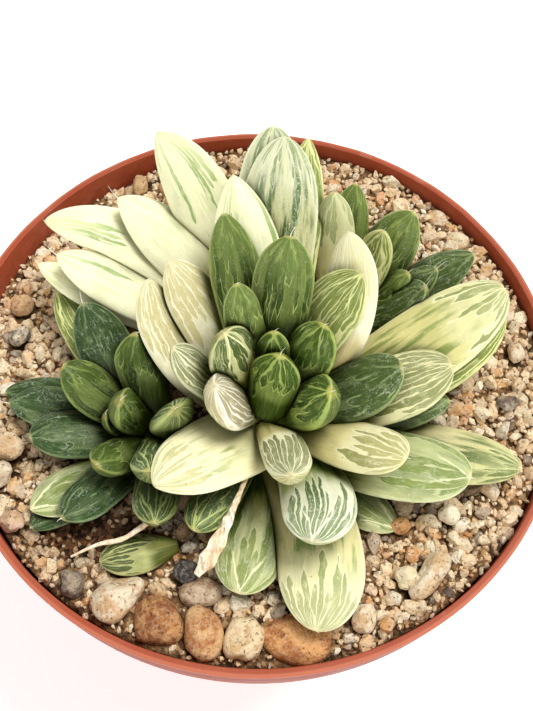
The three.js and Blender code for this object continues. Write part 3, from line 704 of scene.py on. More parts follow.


# A kind of leaf: its ground colours at the root, in the middle and at the end, the colours of a clear
# window at its tip (window) and at its foot (deep), of the veins and of the streaks, and what leaf_skin
# explains. Each colour is as a screen shows it, 0 to 255.
# A root colour darker than the middle is partly the leaf's own green, partly painted shade deep in the
# rosette.
KINDS = {
    "green": dict(ground=[(78, 92, 6), (60, 78, 6), (84, 104, 34)], window=(106, 124, 62),
                  deep=(42, 62, 10), vein=(178, 192, 112), streak=(56, 74, 4), reach=0.6, fingers=0.5,
                  pitch=0.9, plain=0.85, show=0.3, outline=0.8, crest=0.35, lies=(0.1, 0.6), shut=0.03),
    "fresh": dict(ground=[(64, 84, 4), (46, 68, 4), (58, 79, 20)], window=(62, 84, 26), deep=(36, 56, 12),
                  vein=(184, 202, 104), streak=(58, 82, 8), reach=0.42, fingers=0.36, pitch=1.0,
                  plain=0.75, show=0.35, outline=0.7, crest=0.6, lies=(0.1, 0.5), strong=0.4, frost=0.2),
    "crested": dict(ground=[(128, 126, 36), (140, 140, 58), (76, 94, 42)], window=(72, 90, 44),
                    deep=(56, 74, 34), vein=(240, 240, 180), streak=(110, 116, 44), reach=0.4,
                    fingers=0.34, pitch=1.1, thin=0.11, plain=0.7, show=0.7, outline=0.8, crest=1.0,
                    lies=(0.0, 0.4), shut=0.05, frost=0.25),
    "dusky": dict(ground=[(60, 74, 4), (42, 58, 4), (52, 70, 16)], window=(68, 87, 32), deep=(32, 48, 10),
                  vein=(158, 174, 96), streak=(38, 54, 4), reach=0.5, fingers=0.5, pitch=1.0, plain=0.85,
                  show=0.35, outline=0.8, crest=0.4, lies=(0.1, 0.6), shut=0.05, frost=0.2),
    "inky": dict(ground=[(50, 64, 10), (32, 48, 10), (42, 60, 24)], window=(49, 71, 38), deep=(34, 52, 28),
                 vein=(140, 160, 112), streak=(28, 42, 8), reach=0.34, fingers=0.5, pitch=1.3, plain=0.7,
                 show=0.35, outline=0.6, crest=0.4, lies=(0.0, 0.6), shut=0.03, frost=0.4),
    "blue": dict(ground=[(68, 82, 12), (50, 68, 18), (68, 86, 42)], window=(76, 95, 48), deep=(46, 64, 26),
                 vein=(168, 184, 124), streak=(36, 52, 8), reach=0.34, fingers=0.5, pitch=1.3, plain=0.6,
                 show=0.35, outline=0.6, crest=0.5, lies=(0.0, 0.6), shut=0.03, frost=0.5),
    "barred": dict(ground=[(70, 82, 10), (50, 68, 16), (70, 86, 40)], window=(70, 88, 54),
                   deep=(42, 60, 30), vein=(188, 198, 124), streak=(34, 48, 8), reach=0.3, fingers=0.35,
                   pitch=1.2, plain=0.25, show=0.75, outline=0.35, crest=0.9, lies=(0.0, 0.5), shut=0.03,
                   frost=0.35),
    "veined": dict(ground=[(98, 106, 14), (160, 164, 76), (166, 172, 96)], window=(130, 144, 74),
                   deep=(84, 104, 30), vein=(242, 242, 172), streak=(74, 96, 14), reach=0.42, fingers=0.4,
                   pitch=1.0, plain=0.25, show=0.85, outline=0.4, crest=1.0, lies=(0.0, 0.6), strong=0.9,
                   dim=0.55),
    "dark": dict(ground=[(92, 94, 34), (68, 78, 24), (112, 118, 70)], window=(78, 88, 50),
                 deep=(48, 58, 22), vein=(206, 206, 140), streak=(148, 148, 76), reach=0.4, fingers=0.4,
                 pitch=1.0, thin=0.12, show=0.8, outline=0.4, crest=0.3, lies=(0.0, 0.5)),
    "misty": dict(ground=[(160, 158, 84), (236, 226, 160), (220, 218, 168)], window=(176, 184, 132),
                  deep=(140, 152, 92), vein=(228, 230, 180), streak=(120, 126, 50), reach=0.6,
                  fingers=0.35, pitch=1.1, thin=0.13, plain=0.5, show=0.6, outline=0.3, crest=0.9,
                  lies=(0.0, 0.4), strong=0.5, dim=0.35),
    "cream": dict(ground=[(250, 234, 176), (255, 251, 212), (251, 249, 204)], window=(230, 234, 176),
                  deep=(142, 170, 98), vein=(255, 253, 212), streak=(140, 168, 90), reach=0.66,
                  fingers=0.3, pitch=0.95, thin=0.18, show=0.3, outline=0.2, crest=0.35, lies=(0.62, 0.8),
                  strong=0.4, shut=0.5, frost=0.05, dim=0.5),
    "clouded": dict(ground=[(246, 230, 172), (253, 246, 194), (240, 234, 172)], window=(206, 200, 146),
                    deep=(186, 184, 124), vein=(255, 250, 212), streak=(112, 140, 58), reach=0.56,
                    fingers=0.26, pitch=1.0, thin=0.14, outline=0.6, crest=0.5, lies=(0.5, 0.72),
                    strong=0.85, shut=0.25, frost=0.05, dim=0.75),
    "ivory": dict(ground=[(120, 118, 24), (196, 182, 106), (244, 236, 186)], window=(212, 200, 146),
                  deep=(176, 164, 104), vein=(255, 250, 218), streak=(108, 110, 30), reach=0.36,
                  fingers=0.44, pitch=1.3, plain=0.25, show=0.9, crest=0.3, lies=(0.0, 0.5), strong=0.9,
                  shut=0.0),
    "laced": dict(ground=[(136, 126, 52), (226, 208, 144), (244, 238, 190)], window=(232, 224, 172),
                  deep=(214, 202, 142), vein=(255, 252, 224), streak=(150, 140, 60), reach=0.5,
                  fingers=0.3, pitch=0.9, thin=0.12, plain=0.1, show=0.9, outline=0.3, crest=0.3,
                  lies=(0.0, 0.3), strong=0.9, shut=0.05, dim=0.6),
    "netted": dict(ground=[(236, 214, 156), (242, 230, 182), (248, 240, 202)], window=(164, 152, 118),
                   deep=(140, 128, 90), vein=(255, 251, 230), streak=(206, 190, 130), reach=0.1,
                   fingers=0.16, pitch=1.2, plain=0.15, show=1.0, outline=0.3, crest=0.2, lies=(0.0, 0.2),
                   shut=0.0),
    "caged": dict(ground=[(206, 190, 118), (230, 218, 156), (240, 234, 190)], window=(140, 146, 104),
                  deep=(104, 114, 74), vein=(252, 248, 208), streak=(126, 130, 60), reach=0.3,
                  fingers=0.22, pitch=1.0, thin=0.08, plain=0.0, show=1.0, outline=0.4, crest=0.4,
                  lies=(0.0, 0.25), shut=0.0),
    "latticed": dict(ground=[(110, 112, 20), (232, 220, 150), (236, 230, 176)], window=(150, 156, 104),
                     deep=(116, 124, 60), vein=(248, 244, 190), streak=(94, 106, 20), reach=0.54,
                     fingers=0.34, pitch=1.15, show=0.9, crest=0.7, lies=(0.0, 0.45), strong=0.9,
                     shut=0.05, frost=0.35),
    "paned": dict(ground=[(120, 122, 26), (236, 222, 152), (242, 234, 178)], window=(196, 190, 128),
                  deep=(142, 144, 80), vein=(252, 247, 200), streak=(104, 112, 24), reach=0.58,
                  fingers=0.24, pitch=1.5, thin=0.12, show=0.7, outline=0.9, crest=0.3, lies=(0.0, 0.34),
                  strong=1.0, shut=0.12, frost=0.35),
    "barred_cream": dict(ground=[(200, 184, 124), (226, 214, 154), (226, 222, 164)],
                         window=(182, 184, 132), deep=(150, 162, 102), vein=(252, 248, 204),
                         streak=(104, 138, 62), reach=0.68, fingers=0.26, pitch=1.35, plain=0.3, show=0.6,
                         outline=0.8, crest=0.6, lies=(0.36, 0.7), strong=0.9, shut=0.18, frost=0.2),
    "tinged": dict(ground=[(206, 194, 136), (214, 208, 150), (204, 208, 160)], window=(158, 174, 132),
                   deep=(100, 130, 80), vein=(248, 247, 216), streak=(54, 90, 34), reach=0.82, fingers=0.3,
                   pitch=0.85, thin=0.12, plain=0.6, crest=0.7, lies=(0.34, 0.94), strong=1.0, shut=0.3,
                   frost=0.9, clear=0.7),
    "smeared": dict(ground=[(220, 200, 146), (222, 212, 142), (216, 214, 142)], window=(178, 182, 126),
                    deep=(140, 152, 92), vein=(252, 248, 198), streak=(104, 132, 46), reach=0.76,
                    fingers=0.18, pitch=1.7, plain=0.3, outline=1.0, crest=0.5, lies=(0.3, 0.8),
                    strong=0.75, shut=0.0),
    "striped": dict(ground=[(236, 220, 178), (242, 228, 178), (206, 204, 140)], window=(118, 136, 74),
                    deep=(92, 112, 50), vein=(226, 224, 162), streak=(72, 100, 34), reach=0.86,
                    fingers=0.24, pitch=1.2, thin=0.12, plain=0.4, outline=0.4, crest=0.5,
                    lies=(0.68, 1.1), strong=1.0),
    "frosted": dict(ground=[(136, 142, 52), (190, 198, 124), (206, 212, 162)], window=(136, 154, 112),
                    deep=(84, 108, 60), vein=(252, 251, 226), streak=(90, 122, 50), reach=0.56,
                    fingers=0.36, pitch=0.95, thin=0.12, plain=0.1, show=0.9, crest=1.0, lies=(0.25, 0.58),
                    strong=1.0, shut=0.0, frost=0.9),
    "grainy": dict(ground=[(188, 180, 100), (182, 186, 108), (162, 180, 106)], window=(146, 162, 96),
                   deep=(106, 130, 56), vein=(238, 240, 192), streak=(76, 108, 32), reach=0.52,
                   fingers=0.6, pitch=1.4, thin=0.11, plain=0.5, crest=1.0, lies=(0.1, 0.95), strong=1.0,
                   shut=0.3, frost=0.5),
    "mossy": dict(ground=[(130, 128, 56), (152, 156, 84), (162, 170, 104)], window=(138, 150, 88),
                  deep=(92, 114, 48), vein=(234, 234, 186), streak=(60, 90, 24), reach=0.5, fingers=0.5,
                  pitch=1.2, thin=0.11, plain=0.5, outline=0.35, crest=1.0, lies=(0.0, 0.92), strong=1.0,
                  shut=0.35, frost=0.45, clear=0.8),
}


def leaf_skin(name, ground, window, deep, vein, streak, reach, fingers, pitch, crest, lies, thin=0.1,
              plain=0.2, show=0.5, outline=0.5, strong=0.6, shut=0.1, frost=0.15, clear=0.94, dim=0.95):
    """The windows are strips between veins, as broad as pitch (mm). Each starts about reach of the way up
    the leaf, more or less by half of fingers. A vein takes thin of a strip, plain says how many veins fade
    out, and shut how many strips stay closed. Show, outline and crest say how strongly the veins, the edges
    of the windows and the forked vein at the tip stand out. Streaks run over the part of the length that
    lies gives, as strongly as strong says. Frost is how much of the end is scuffed white, in specks that are
    also painted glints, clear how much the windows hide the ground, and dim how much painted shade darkens
    the leaf where its neighbours crowd it."""
    root, middle, end = (tone(*colour) for colour in ground)
    window, deep, vein, streak = (tone(*colour) for colour in (window, deep, vein, streak))
    finish = Finish("leaf_" + name, Specular_IOR_Level=0.25, Specular_Tint=(0.9, 1.0, 0.6, 1.0),
                    Subsurface_Weight=0.15, Subsurface_Scale=0.0014, Subsurface_Radius=(1.0, 0.9, 0.45))
    side, down, lateral = finish.parts(finish.mark("leaf_place", "Vector"))
    half, length, seed = finish.parts(finish.mark("leaf_self", "Vector"))
    face = finish.mark("leaf_face")
    x = side * half
    share = 1 - down / length
    drift = finish.noise(finish.joined(x * 0.3, down * 0.16, seed), 1, 2.0) - 0.5
    waver = finish.noise(finish.joined(x * 0.9, down * 0.4, seed + 40), 1, 2.0) - 0.5
    fibre = finish.noise(finish.joined(x * 3.6, down * 0.2, seed + 20), 1, 2.0)
    mottle = finish.noise(finish.joined(x * 0.5, down * 0.16, seed + 10), 1, 3.0)
    shade = finish.mixed(0.5, middle, tone(36, 48, 8))

    stops = [(0.02, root), (0.45, middle), (0.92, end)]
    colour = finish.node("ShaderNodeValToRGB", {0: share + drift * 0.3}, stops=stops)
    colour = finish.mixed(mottle.rise(0.3, 0.7) * 0.25, colour, shade)
    colour = finish.mixed(fibre.rise(0.5, 0.7) * 0.2, colour, vein)
    hair = finish.noise(finish.joined(x * 6, down * 0.5, seed + 90), 1, 2.0)
    colour = finish.mixed(hair.rise(0.42, 0.3) * 0.3, colour, shade)
    soft = finish.noise(finish.joined(x * 0.85, down * 0.1, seed + 30), 1, 3.0, 0.55)
    level = share + drift * 0.5
    zone = level.rise(lies[0] - 0.1, lies[0] + 0.12) * level.rise(lies[1] + 0.06, lies[1] - 0.14)
    inward = (abs(side) + drift * 0.8).rise(0.98, 0.6)
    colour = finish.mixed(soft.rise(0.44, 0.6) * zone * inward * strong, colour, streak)

    strip = x / pitch + seed * 7 + drift * 1.6 + waver * 0.6
    chance = finish.strips(strip, "F1", "Color")
    edge = finish.strips(strip, "DISTANCE_TO_EDGE", "Distance")
    lucky, shy, _ = finish.parts(chance)
    rung = share + drift * 0.25 - reach
    opened = (rung - fingers * (lucky - 0.5)).rise(0.0, 0.2) * shy.rise(shut - 0.01, shut + 0.01)
    closed = 1 - opened
    kept = finish.noise(finish.joined(x * 0.7, down * 0.28, seed + 60), 1, 1.0)
    narrow = thin * kept.rise(plain * 0.5 + 0.2, plain * 0.5 + 0.32) - 0.03
    bar = narrow + closed * closed * (0.95 - narrow)
    pane = (edge - bar).rise(0.0, 0.08)
    border = (edge - bar).rise(-0.18, -0.04) * (1 - pane)
    ribs = rung.rise(-0.3 * fingers, 0.05) * (1 - pane)
    glass = finish.mixed((rung + 0.3 * (lucky - 0.5)).rise(-0.12, 0.25), deep, window)
    glass = finish.mixed(waver.rise(0.02, 0.2) * 0.3, glass, vein)
    glass = finish.mixed(hair.rise(0.45, 0.3) * 0.25, glass, deep)
    colour = finish.mixed(ribs * show * (0.8 + waver), colour, vein)
    colour = finish.mixed(pane * clear, colour, glass)
    colour = finish.mixed(border * outline, colour, vein)
    finer = finish.strips(strip * 2.1 + waver * 1.6, "DISTANCE_TO_EDGE", "Distance")
    some = finish.noise(finish.joined(x * 0.8, down * 0.35, seed + 80), 1, 1.0).rise(0.46, 0.56)
    colour = finish.mixed(finer.rise(0.11, 0.04) * pane * some * show * 0.7, colour, vein)
    branch = abs(abs(lateral) - down * 0.42 + waver * 1.2)
    arm = branch.rise(0.24, 0.1) * down.rise(4 + 4 * crest, 2 + 2 * crest) * abs(side).rise(1.0, 0.9)
    colour = finish.mixed(arm * crest, colour, vein)
    rim = (abs(side) + waver * 0.08).rise(0.9, 0.97) * share.rise(0.15, 0.45) * 0.6
    colour = finish.mixed(rim, colour, vein)
    point = finish.mixed(0.35, vein, tone(232, 190, 110))
    colour = finish.mixed(down.rise(0.55, 0.15) * 0.7, colour, point)

    spots = finish.place()
    patch = finish.noise(spots, 3.0, 1.0).rise(0.43, 0.6)
    # White frost specks near the end, partly the leaf's own scuffs and partly painted glints.
    scuff_and_glint = finish.noise(spots, 0.5, 5.0, 0.85).rise(0.54, 0.6) * share.rise(0.35, 0.75) * patch
    colour = finish.mixed(scuff_and_glint * frost, colour, tone(226, 234, 214))
    flecks = finish.noise(spots, 0.36, 2.0, 0.7).rise(0.64, 0.72) * share.rise(0.2, 0.6)
    colour = finish.mixed(flecks * 0.4, colour, finish.mixed(0.5, vein, tone(250, 250, 232)))
    freckles = finish.noise(finish.moved(spots, (70, 0, 0)), 0.55, 0.0).rise(0.84, 0.87)
    colour = finish.mixed(freckles * 0.5, colour, tone(120, 92, 44))
    lit = finish.node("ShaderNodeTexWhiteNoise", {"W": seed}, "Value", noise_dimensions="1D")
    colour = finish.mixed(lit * 0.14, colour, finish.mixed(0.5, middle, tone(60, 72, 26)))
    belly = finish.mixed(0.35, middle, tone(146, 152, 92))
    colour = finish.mixed(face.rise(-0.1, -0.6) * 0.5, colour, belly)
    # Painted shade: the leaf is darker where its neighbours crowd it and hide it from the light.
    crowded = finish.mark("crowd").rise(0.12, 0.72)
    colour = finish.mixed(crowded * dim, colour, tone(88, 92, 34), "MULTIPLY")

    rough = 0.4 - 0.1 * pane + 0.12 * mottle + 0.12 * scuff_and_glint
    pores = finish.noise(spots, 0.4, 2.0)
    relief = pane * 0.6 + fibre * 0.2 + scuff_and_glint * 0.15 + ribs * 0.2 + pores * 0.3
    return finish.coat(colour, rough, relief, 0.12)


leaf_finishes = {kind: leaf_skin(kind, **values) for kind, values in KINDS.items()}
grown = []
leaf_pieces = []
for count, row in enumerate(LEAVES):
    leaf = Leaf(row, seed=1.0 + count * 0.618)
    points = np.vstack([leaf.skin(grown), leaf.centre[0], leaf.tip])
    grown.append(leaf)
    faces = tube_faces(LEAF_RINGS, LEAF_SIDES)
    piece = body("leaf_skin_" + leaf.number, points, faces, leaf_finishes[leaf.kind])
    down = np.repeat((1 - leaf.share) * leaf.length, LEAF_SIDES)
    place = np.stack([leaf.side.ravel(), down, leaf.lateral.ravel()], 1)
    place = np.vstack([place, [0, leaf.length, 0], [0, 0, 0]])
    own = np.tile([leaf.width / 2, leaf.length, leaf.seed], (len(points), 1))
    note(piece, "leaf_face", np.append(leaf.face.ravel(), [0, 0]))
    note(piece, "leaf_place", place, "FLOAT_VECTOR")
    note(piece, "leaf_self", own, "FLOAT_VECTOR")
    node = "leaf_" + leaf.number
    if node in frame["nodes"]:
        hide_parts(node)
    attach(piece, "root")
    leaf_pieces.append(piece)


def as_one(pieces):
    """The surface of several pieces together, to find what lies near or in the way."""
    points = []
    faces = []
    for piece in pieces:
        base = len(points)
        points += [v.co.copy() for v in piece.data.vertices]
        faces += [[base + v for v in p.vertices] for p in piece.data.polygons]
    return BVHTree.FromPolygons(points, faces)


# Little light gets in where leaves crowd together: how much its neighbours hide of the space before each
# point. The rays fan out over a half dome, each turned on from the last by the golden angle.
CROWD_RAYS = 12
CROWD_REACH = 16 * MM
GOLDEN_ANGLE = 2.4
rays = []
for k in range(CROWD_RAYS):
    out = math.sqrt((k + 0.5) / CROWD_RAYS)
    turn = GOLDEN_ANGLE * k
    rays.append((out * math.cos(turn), out * math.sin(turn), math.sqrt(1 - out * out)))
clump = as_one(leaf_pieces)
for piece in leaf_pieces:
    hidden = np.zeros((LEAF_RINGS // 2, LEAF_SIDES // 2))
    for r in range(LEAF_RINGS // 2):
        for k in range(LEAF_SIDES // 2):
            vertex = piece.data.vertices[2 * r * LEAF_SIDES + 2 * k]
            turn = vertex.normal.to_track_quat("Z", "Y")
            start = vertex.co + vertex.normal * 0.2 * MM
            for ray in rays:
                away = clump.ray_cast(start, turn @ Vector(ray), CROWD_REACH)[3]
                hidden[r, k] += 0 if away is None else (1 - away / CROWD_REACH) / CROWD_RAYS
    hidden = np.repeat(np.repeat(hidden, 2, 0), 2, 1)
    for _ in range(2):
        hidden = (hidden + np.roll(hidden, 1, 1) + np.roll(hidden, -1, 1)) / 3
        hidden[1:-1] = (hidden[:-2] + hidden[1:-1] + hidden[2:]) / 3
    note(piece, "crowd", np.append(hidden.ravel(), [hidden[0].mean(), hidden[-1].mean()]))


# Bristles: a fine white hair at the tip of each leaf, long on a few and short on most. It tapers, is
# slightly bent and grows on in the direction of its leaf.
def tree_with(name, inputs):
    """A Geometry Nodes tree with a geometry going in and out, and the named inputs."""
    tree = bpy.data.node_groups.new(name, "GeometryNodeTree")
    tree.interface.new_socket("Geometry", in_out="INPUT", socket_type="NodeSocketGeometry")
    tree.interface.new_socket("Geometry", in_out="OUTPUT", socket_type="NodeSocketGeometry")
    for label, kind in inputs.items():
        tree.interface.new_socket(label, in_out="INPUT", socket_type="NodeSocket" + kind)
    growth = Wiring(tree)
    given = {label: growth.node("NodeGroupInput", output=label) for label in ["Geometry", *inputs]}
    return growth, given


def grow(piece, tree, **values):
    """Runs a tree on a piece, with its inputs set, and keeps the result as a plain mesh."""
    modifier = piece.modifiers.new(tree.name, "NODES")
    modifier.node_group = tree
    for item in tree.interface.items_tree:
        label = item.name.replace(" ", "_")
        if item.in_out == "INPUT" and label in values:
            modifier[item.identifier] = values[label]
    return finished(piece)


# A hair's radius at its root and at its tip, and how far it bends over its whole length, in metres.
HAIR_ROOT = 0.00011
HAIR_TIP = 0.00002
HAIR_BEND = 0.0007


def bristle_tree():
    """A bent and tapered hair is stood on each point, as long as that point says."""
    growth, given = tree_with("bristles", {"Root radius": "Float", "Bend": "Float", "Finish": "Material"})
    hair = growth.node("GeometryNodeMeshCone",
                       {"Vertices": 6, "Side Segments": 6, "Radius Top": HAIR_TIP,
                        "Radius Bottom": given["Root radius"], "Depth": 1.0}, "Mesh")
    where = growth.node("GeometryNodeInputPosition")
    height = growth.node("ShaderNodeSeparateXYZ", {0: where}, "Z")
    lean = growth.node("ShaderNodeCombineXYZ", {"X": height * height * given["Bend"]})
    bent = growth.node("GeometryNodeSetPosition", {"Geometry": hair, "Offset": lean})
    ahead = growth.noted("ahead", "FLOAT_VECTOR")
    length = growth.noted("length")
    turn = growth.node("FunctionNodeAlignRotationToVector", {"Vector": ahead}, axis="Z")
    size = growth.node("ShaderNodeCombineXYZ", {"X": 1.0, "Y": 1.0, "Z": length})
    spots = growth.node("GeometryNodeMeshToPoints", {"Mesh": given["Geometry"]})
    hairs = growth.node("GeometryNodeInstanceOnPoints",
                        {"Points": spots, "Instance": bent, "Rotation": turn, "Scale": size})
    real = growth.node("GeometryNodeRealizeInstances", {"Geometry": hairs})
    done = growth.node("GeometryNodeSetMaterial", {"Geometry": real, "Material": given["Finish"]})
    growth.node("NodeGroupOutput", {"Geometry": done})
    return growth.tree


def bristle_hair():
    finish = Finish("bristle_hair", Specular_IOR_Level=0.4)
    shade = finish.noise(finish.place(), 0.8, 2.0)
    return finish.coat(finish.mixed(shade, tone(232, 228, 196), tone(255, 253, 240)), 0.4 + 0.2 * shade)


# Each hair is rooted this far (mm) inside its tip.
HAIR_SEAT = 0.25
hair_seats = [leaf.tip - leaf.along[-1] * HAIR_SEAT for leaf in grown]
bristles = body("tip_bristles", hair_seats, [], bristle_hair())
note(bristles, "ahead", [leaf.along[-1] + leaf.up[-1] * 0.35 for leaf in grown], "FLOAT_VECTOR")
note(bristles, "length", np.array([leaf.bristle + 0.3 for leaf in grown]) * MM)
grow(bristles, bristle_tree(), Root_radius=HAIR_ROOT, Bend=HAIR_BEND, Finish=bristles.data.materials[0])
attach(bristles, "root")


# Dried leaf and flower stalk: the leaf has shrunk to a crumpled papery strip that hangs out of the rosette,
# and the stalk of last year's flowers is a dry, crooked straw that lies on the grit.
def straw():
    finish = Finish("straw", Specular_IOR_Level=0.25)
    place = finish.place()
    shade = finish.noise(finish.scaled(place, (1, 0.4, 1)), 2.2, 3.0, 0.6)
    burnt = finish.noise(place, 0.6, 2.0).rise(0.66, 0.76)
    colour = finish.mixed(shade.rise(0.25, 0.7), tone(232, 186, 128), tone(255, 246, 222))
    wrinkle = finish.noise(finish.scaled(place, (1, 0.22, 0.7)), 0.42, 3.0)
    colour = finish.mixed(wrinkle.rise(0.5, 0.36) * 0.4, colour, tone(206, 146, 90))
    colour = finish.mixed(burnt * 0.45, colour, tone(186, 120, 66))
    return finish.coat(colour, 0.6 + 0.2 * shade, shade + wrinkle + burnt * -0.4, 0.35)


straw_finish = straw()
DRY_LEAF = [(-0.6, -22.6, 86.4), (-1.8, -26.4, 87.2), (-3.4, -31, 86.9), (-5.6, -35.8, 85),
            (-8.2, -39.2, 82)]
dry_leaf = swept("dry_leaf_strip", DRY_LEAF, [0.8, 0.8, 0.9, 1.2, 2.0, 2.7, 2.9, 1.1],
                 [0.9, 0.8, 0.8, 0.9, 0.8, 0.6, 0.4], straw_finish, rings=120, sides=28, crumple=0.34,
                 seed=2.0)
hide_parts("dried_leaf")
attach(dry_leaf, "root")
STALK = [(-15.5, -30.5, 84.6), (-18.5, -32.6, 83.6), (-21, -34.1, 82.9), (-25, -35, 82.2),
         (-29.3, -36.8, 80.8)]
dry_straw = swept("dry_flower_straw", STALK, [0.8, 1.0, 0.8, 0.9, 0.6, 0.4], [0.8, 0.9, 0.7, 0.8, 0.5, 0.3],
                  straw_finish, sides=12, crumple=0.06, seed=1.0)
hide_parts("dry_stalk")
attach(dry_straw, "root")


# Stones: six smooth pebbles laid along the front edge, and smaller ones pressed into the grit round the
# pot. Each has worn flats, a skin of one mineral with stains of another, and fine pits.
def stone_skin():
    finish = Finish("stone_skin", Specular_IOR_Level=0.3)
    place = finish.place()
    light = finish.mark("light_tone", "Color")
    dark = finish.mark("dark_tone", "Color")
    patches = finish.noise(place, 3.4, 5.0, 0.65)
    grain = finish.noise(place, 0.7, 4.0, 0.75)
    pits = finish.noise(place, 0.6, 3.0).rise(0.62, 0.72)
    colour = finish.mixed(patches.rise(0.4, 0.58), dark, light)
    pale = finish.mixed(0.5, light, tone(255, 246, 226))
    colour = finish.mixed(grain.rise(0.45, 0.65) * 0.3, colour, pale)
    deep = finish.mixed(0.5, dark, tone(70, 46, 30))
    colour = finish.mixed(grain.rise(0.48, 0.32) * 0.35, colour, deep)
    colour = finish.mixed(pits * 0.55, colour, tone(84, 54, 34))
    colour = finish.mixed(finish.mark("sunk") * 0.55, colour, tone(70, 50, 36))
    return finish.coat(colour, 0.5 + 0.25 * grain, grain + patches - pits * 0.6, 0.5)


def to_flats(rays, planes, reach):
    """How far along each ray each of the planes lies that cut a lump. One that faces away is far off."""
    least_slope, far_off = 0.05, 9
    facing = rays @ planes.T
    return np.where(facing > least_slope, reach / np.maximum(facing, least_slope), far_off)


# How often the ball that a pebble is worn from is divided more finely.
PEBBLE_DETAIL = 4


def pebble(name, place, size, turn, seed, light, dark, rough, finish):
    """A lump cut by planes and worn round at their edges: rough is 0 for a river pebble, 1 for rubble."""
    shape = bmesh.new()
    bmesh.ops.create_icosphere(shape, subdivisions=PEBBLE_DETAIL, radius=1)
    rays = np.array([v.co for v in shape.verts])
    faces = [[v.index for v in f.verts] for f in shape.faces]
    shape.free()
    draw = np.random.default_rng(seed)
    flats = 6 + round(8 * rough)
    planes = unit(draw.normal(size=(flats, 3)))
    limits = to_flats(rays, planes, draw.uniform(0.72, 0.92, flats))
    crisp = 9 + 26 * rough
    worn = -np.log(np.exp(-crisp * limits).sum(1) + math.exp(-crisp)) / crisp
    bumps = 0
    for waves in (4, 6, 9, 13, 19):
        bumps = bumps + np.sin(rays @ unit(draw.normal(size=3)) * waves + draw.uniform(0, 6)) / waves
    rays = rays * (worn + (0.06 + 0.16 * rough) * bumps)[:, None]
    a = math.radians(turn)
    spin = np.array([[math.cos(a), -math.sin(a), 0], [math.sin(a), math.cos(a), 0], [0, 0, 1]])
    points = (rays * np.array(size) / 2 / np.abs(rays).max(0)) @ spin.T + np.array(place)
    piece = body(name, points, faces, finish)
    note(piece, "sunk", np.clip((place[2] - size[2] * 0.15 - points[:, 2]) / (size[2] * 0.3), 0, 1))
    note(piece, "light_tone", np.tile(light, (len(points), 1)), "FLOAT_COLOR")
    note(piece, "dark_tone", np.tile(dark, (len(points), 1)), "FLOAT_COLOR")
    return piece


stone_finish = stone_skin()
SANDY = tone(214, 176, 128)
CHALKY = tone(240, 222, 190)
SLATE = tone(74, 66, 60)
# Name (only the six large ones have one), centre, size, turn (degrees), light and dark tone, and roughness.
STONES = [
    ("stone_whitish", (-21.1, -43.2, 79.6), (10.6, 6.8, 6.2), 40, CHALKY, tone(206, 160, 112), 0.35),
    ("stone_brown", (-14, -46.4, 79.7), (8.0, 8.6, 6.2), 20, tone(196, 142, 84), tone(140, 78, 34), 0.4),
    ("stone_tan", (-6.6, -48, 79.7), (9.2, 6.8, 5.6), 115, tone(224, 178, 124), tone(182, 116, 62), 0.2),
    ("stone_cream", (0.3, -49, 79.7), (7.2, 7.4, 5.8), 0, tone(244, 218, 174), tone(220, 178, 122), 0.95),
    ("stone_flat", (9.2, -47.4, 79.2), (13.2, 9.6, 5.4), 4, tone(226, 166, 102), tone(172, 108, 56), 0.1),
    ("stone_grey", (-7.5, -41.2, 78.8), (7.6, 5.4, 5.2), 5, tone(206, 182, 150), tone(150, 112, 80), 0.3),
    ("", (-10, -38.2, 80), (4.6, 4.2, 4), 0, SLATE, tone(40, 34, 32), 0.7),
    ("", (30.6, -36.5, 80.6), (11, 4.6, 4.4), 52, CHALKY, SANDY, 0.7),
    ("", (25.8, -28.2, 80.2), (3.6, 3.2, 3), 40, tone(226, 170, 110), tone(196, 140, 86), 0.7),
    ("", (-45.9, 12.6, 78.4), (4.8, 4.4, 4), 20, SANDY, tone(196, 150, 104), 0.7),
    ("", (-45.2, 5.8, 78.2), (4.4, 3.8, 3.6), 60, SLATE, CHALKY, 0.7),
    ("", (-43.6, -17.1, 79.4), (6.4, 5.4, 4.4), 10, tone(232, 206, 168), SANDY, 0.7),
    ("", (-44.2, -22.6, 79.6), (5.4, 5.0, 4.2), 30, CHALKY, tone(206, 182, 150), 0.7),
    ("", (-40.2, -30.8, 79.6), (4.6, 4.0, 3.6), 0, tone(226, 190, 166), SANDY, 0.7),
    ("", (-28.8, -41.0, 79.2), (5.6, 4.8, 4), 130, tone(176, 156, 130), tone(104, 90, 78), 0.9),
    ("", (-26.4, 42.4, 78.2), (3.4, 5.6, 3.6), 8, SANDY, tone(206, 158, 106), 0.7),
    ("", (-21, 43, 78), (3, 5, 3.2), -10, SANDY, tone(206, 158, 106), 0.7),
    ("", (34.4, 37.6, 78.4), (5, 4, 3.6), 0, CHALKY, SANDY, 0.7),
    ("", (38.4, 32.4, 78.4), (4.6, 4.8, 3.8), 40, tone(244, 224, 184), SANDY, 0.7),
    ("", (46.4, 15.6, 79), (4.2, 4.4, 3.6), 0, CHALKY, SANDY, 0.7),
    ("", (48.2, 7.2, 79), (4.4, 3.6, 3.4), 80, CHALKY, SANDY, 0.7),
    ("", (34, -26, 80.4), (4, 4, 3.6), 0, tone(250, 238, 206), CHALKY, 0.7),
    ("", (26.6, -37.4, 80.4), (4.4, 4.0, 3.6), 0, tone(250, 232, 186), CHALKY, 0.7),
    ("", (19.4, -44.4, 80), (5.6, 4.2, 4), 70, CHALKY, SANDY, 0.7),
    ("", (41.4, -20.4, 79.6), (5, 3.6, 3.6), 110, CHALKY, SANDY, 0.7),
]
loose_stones = []
set_stones = []
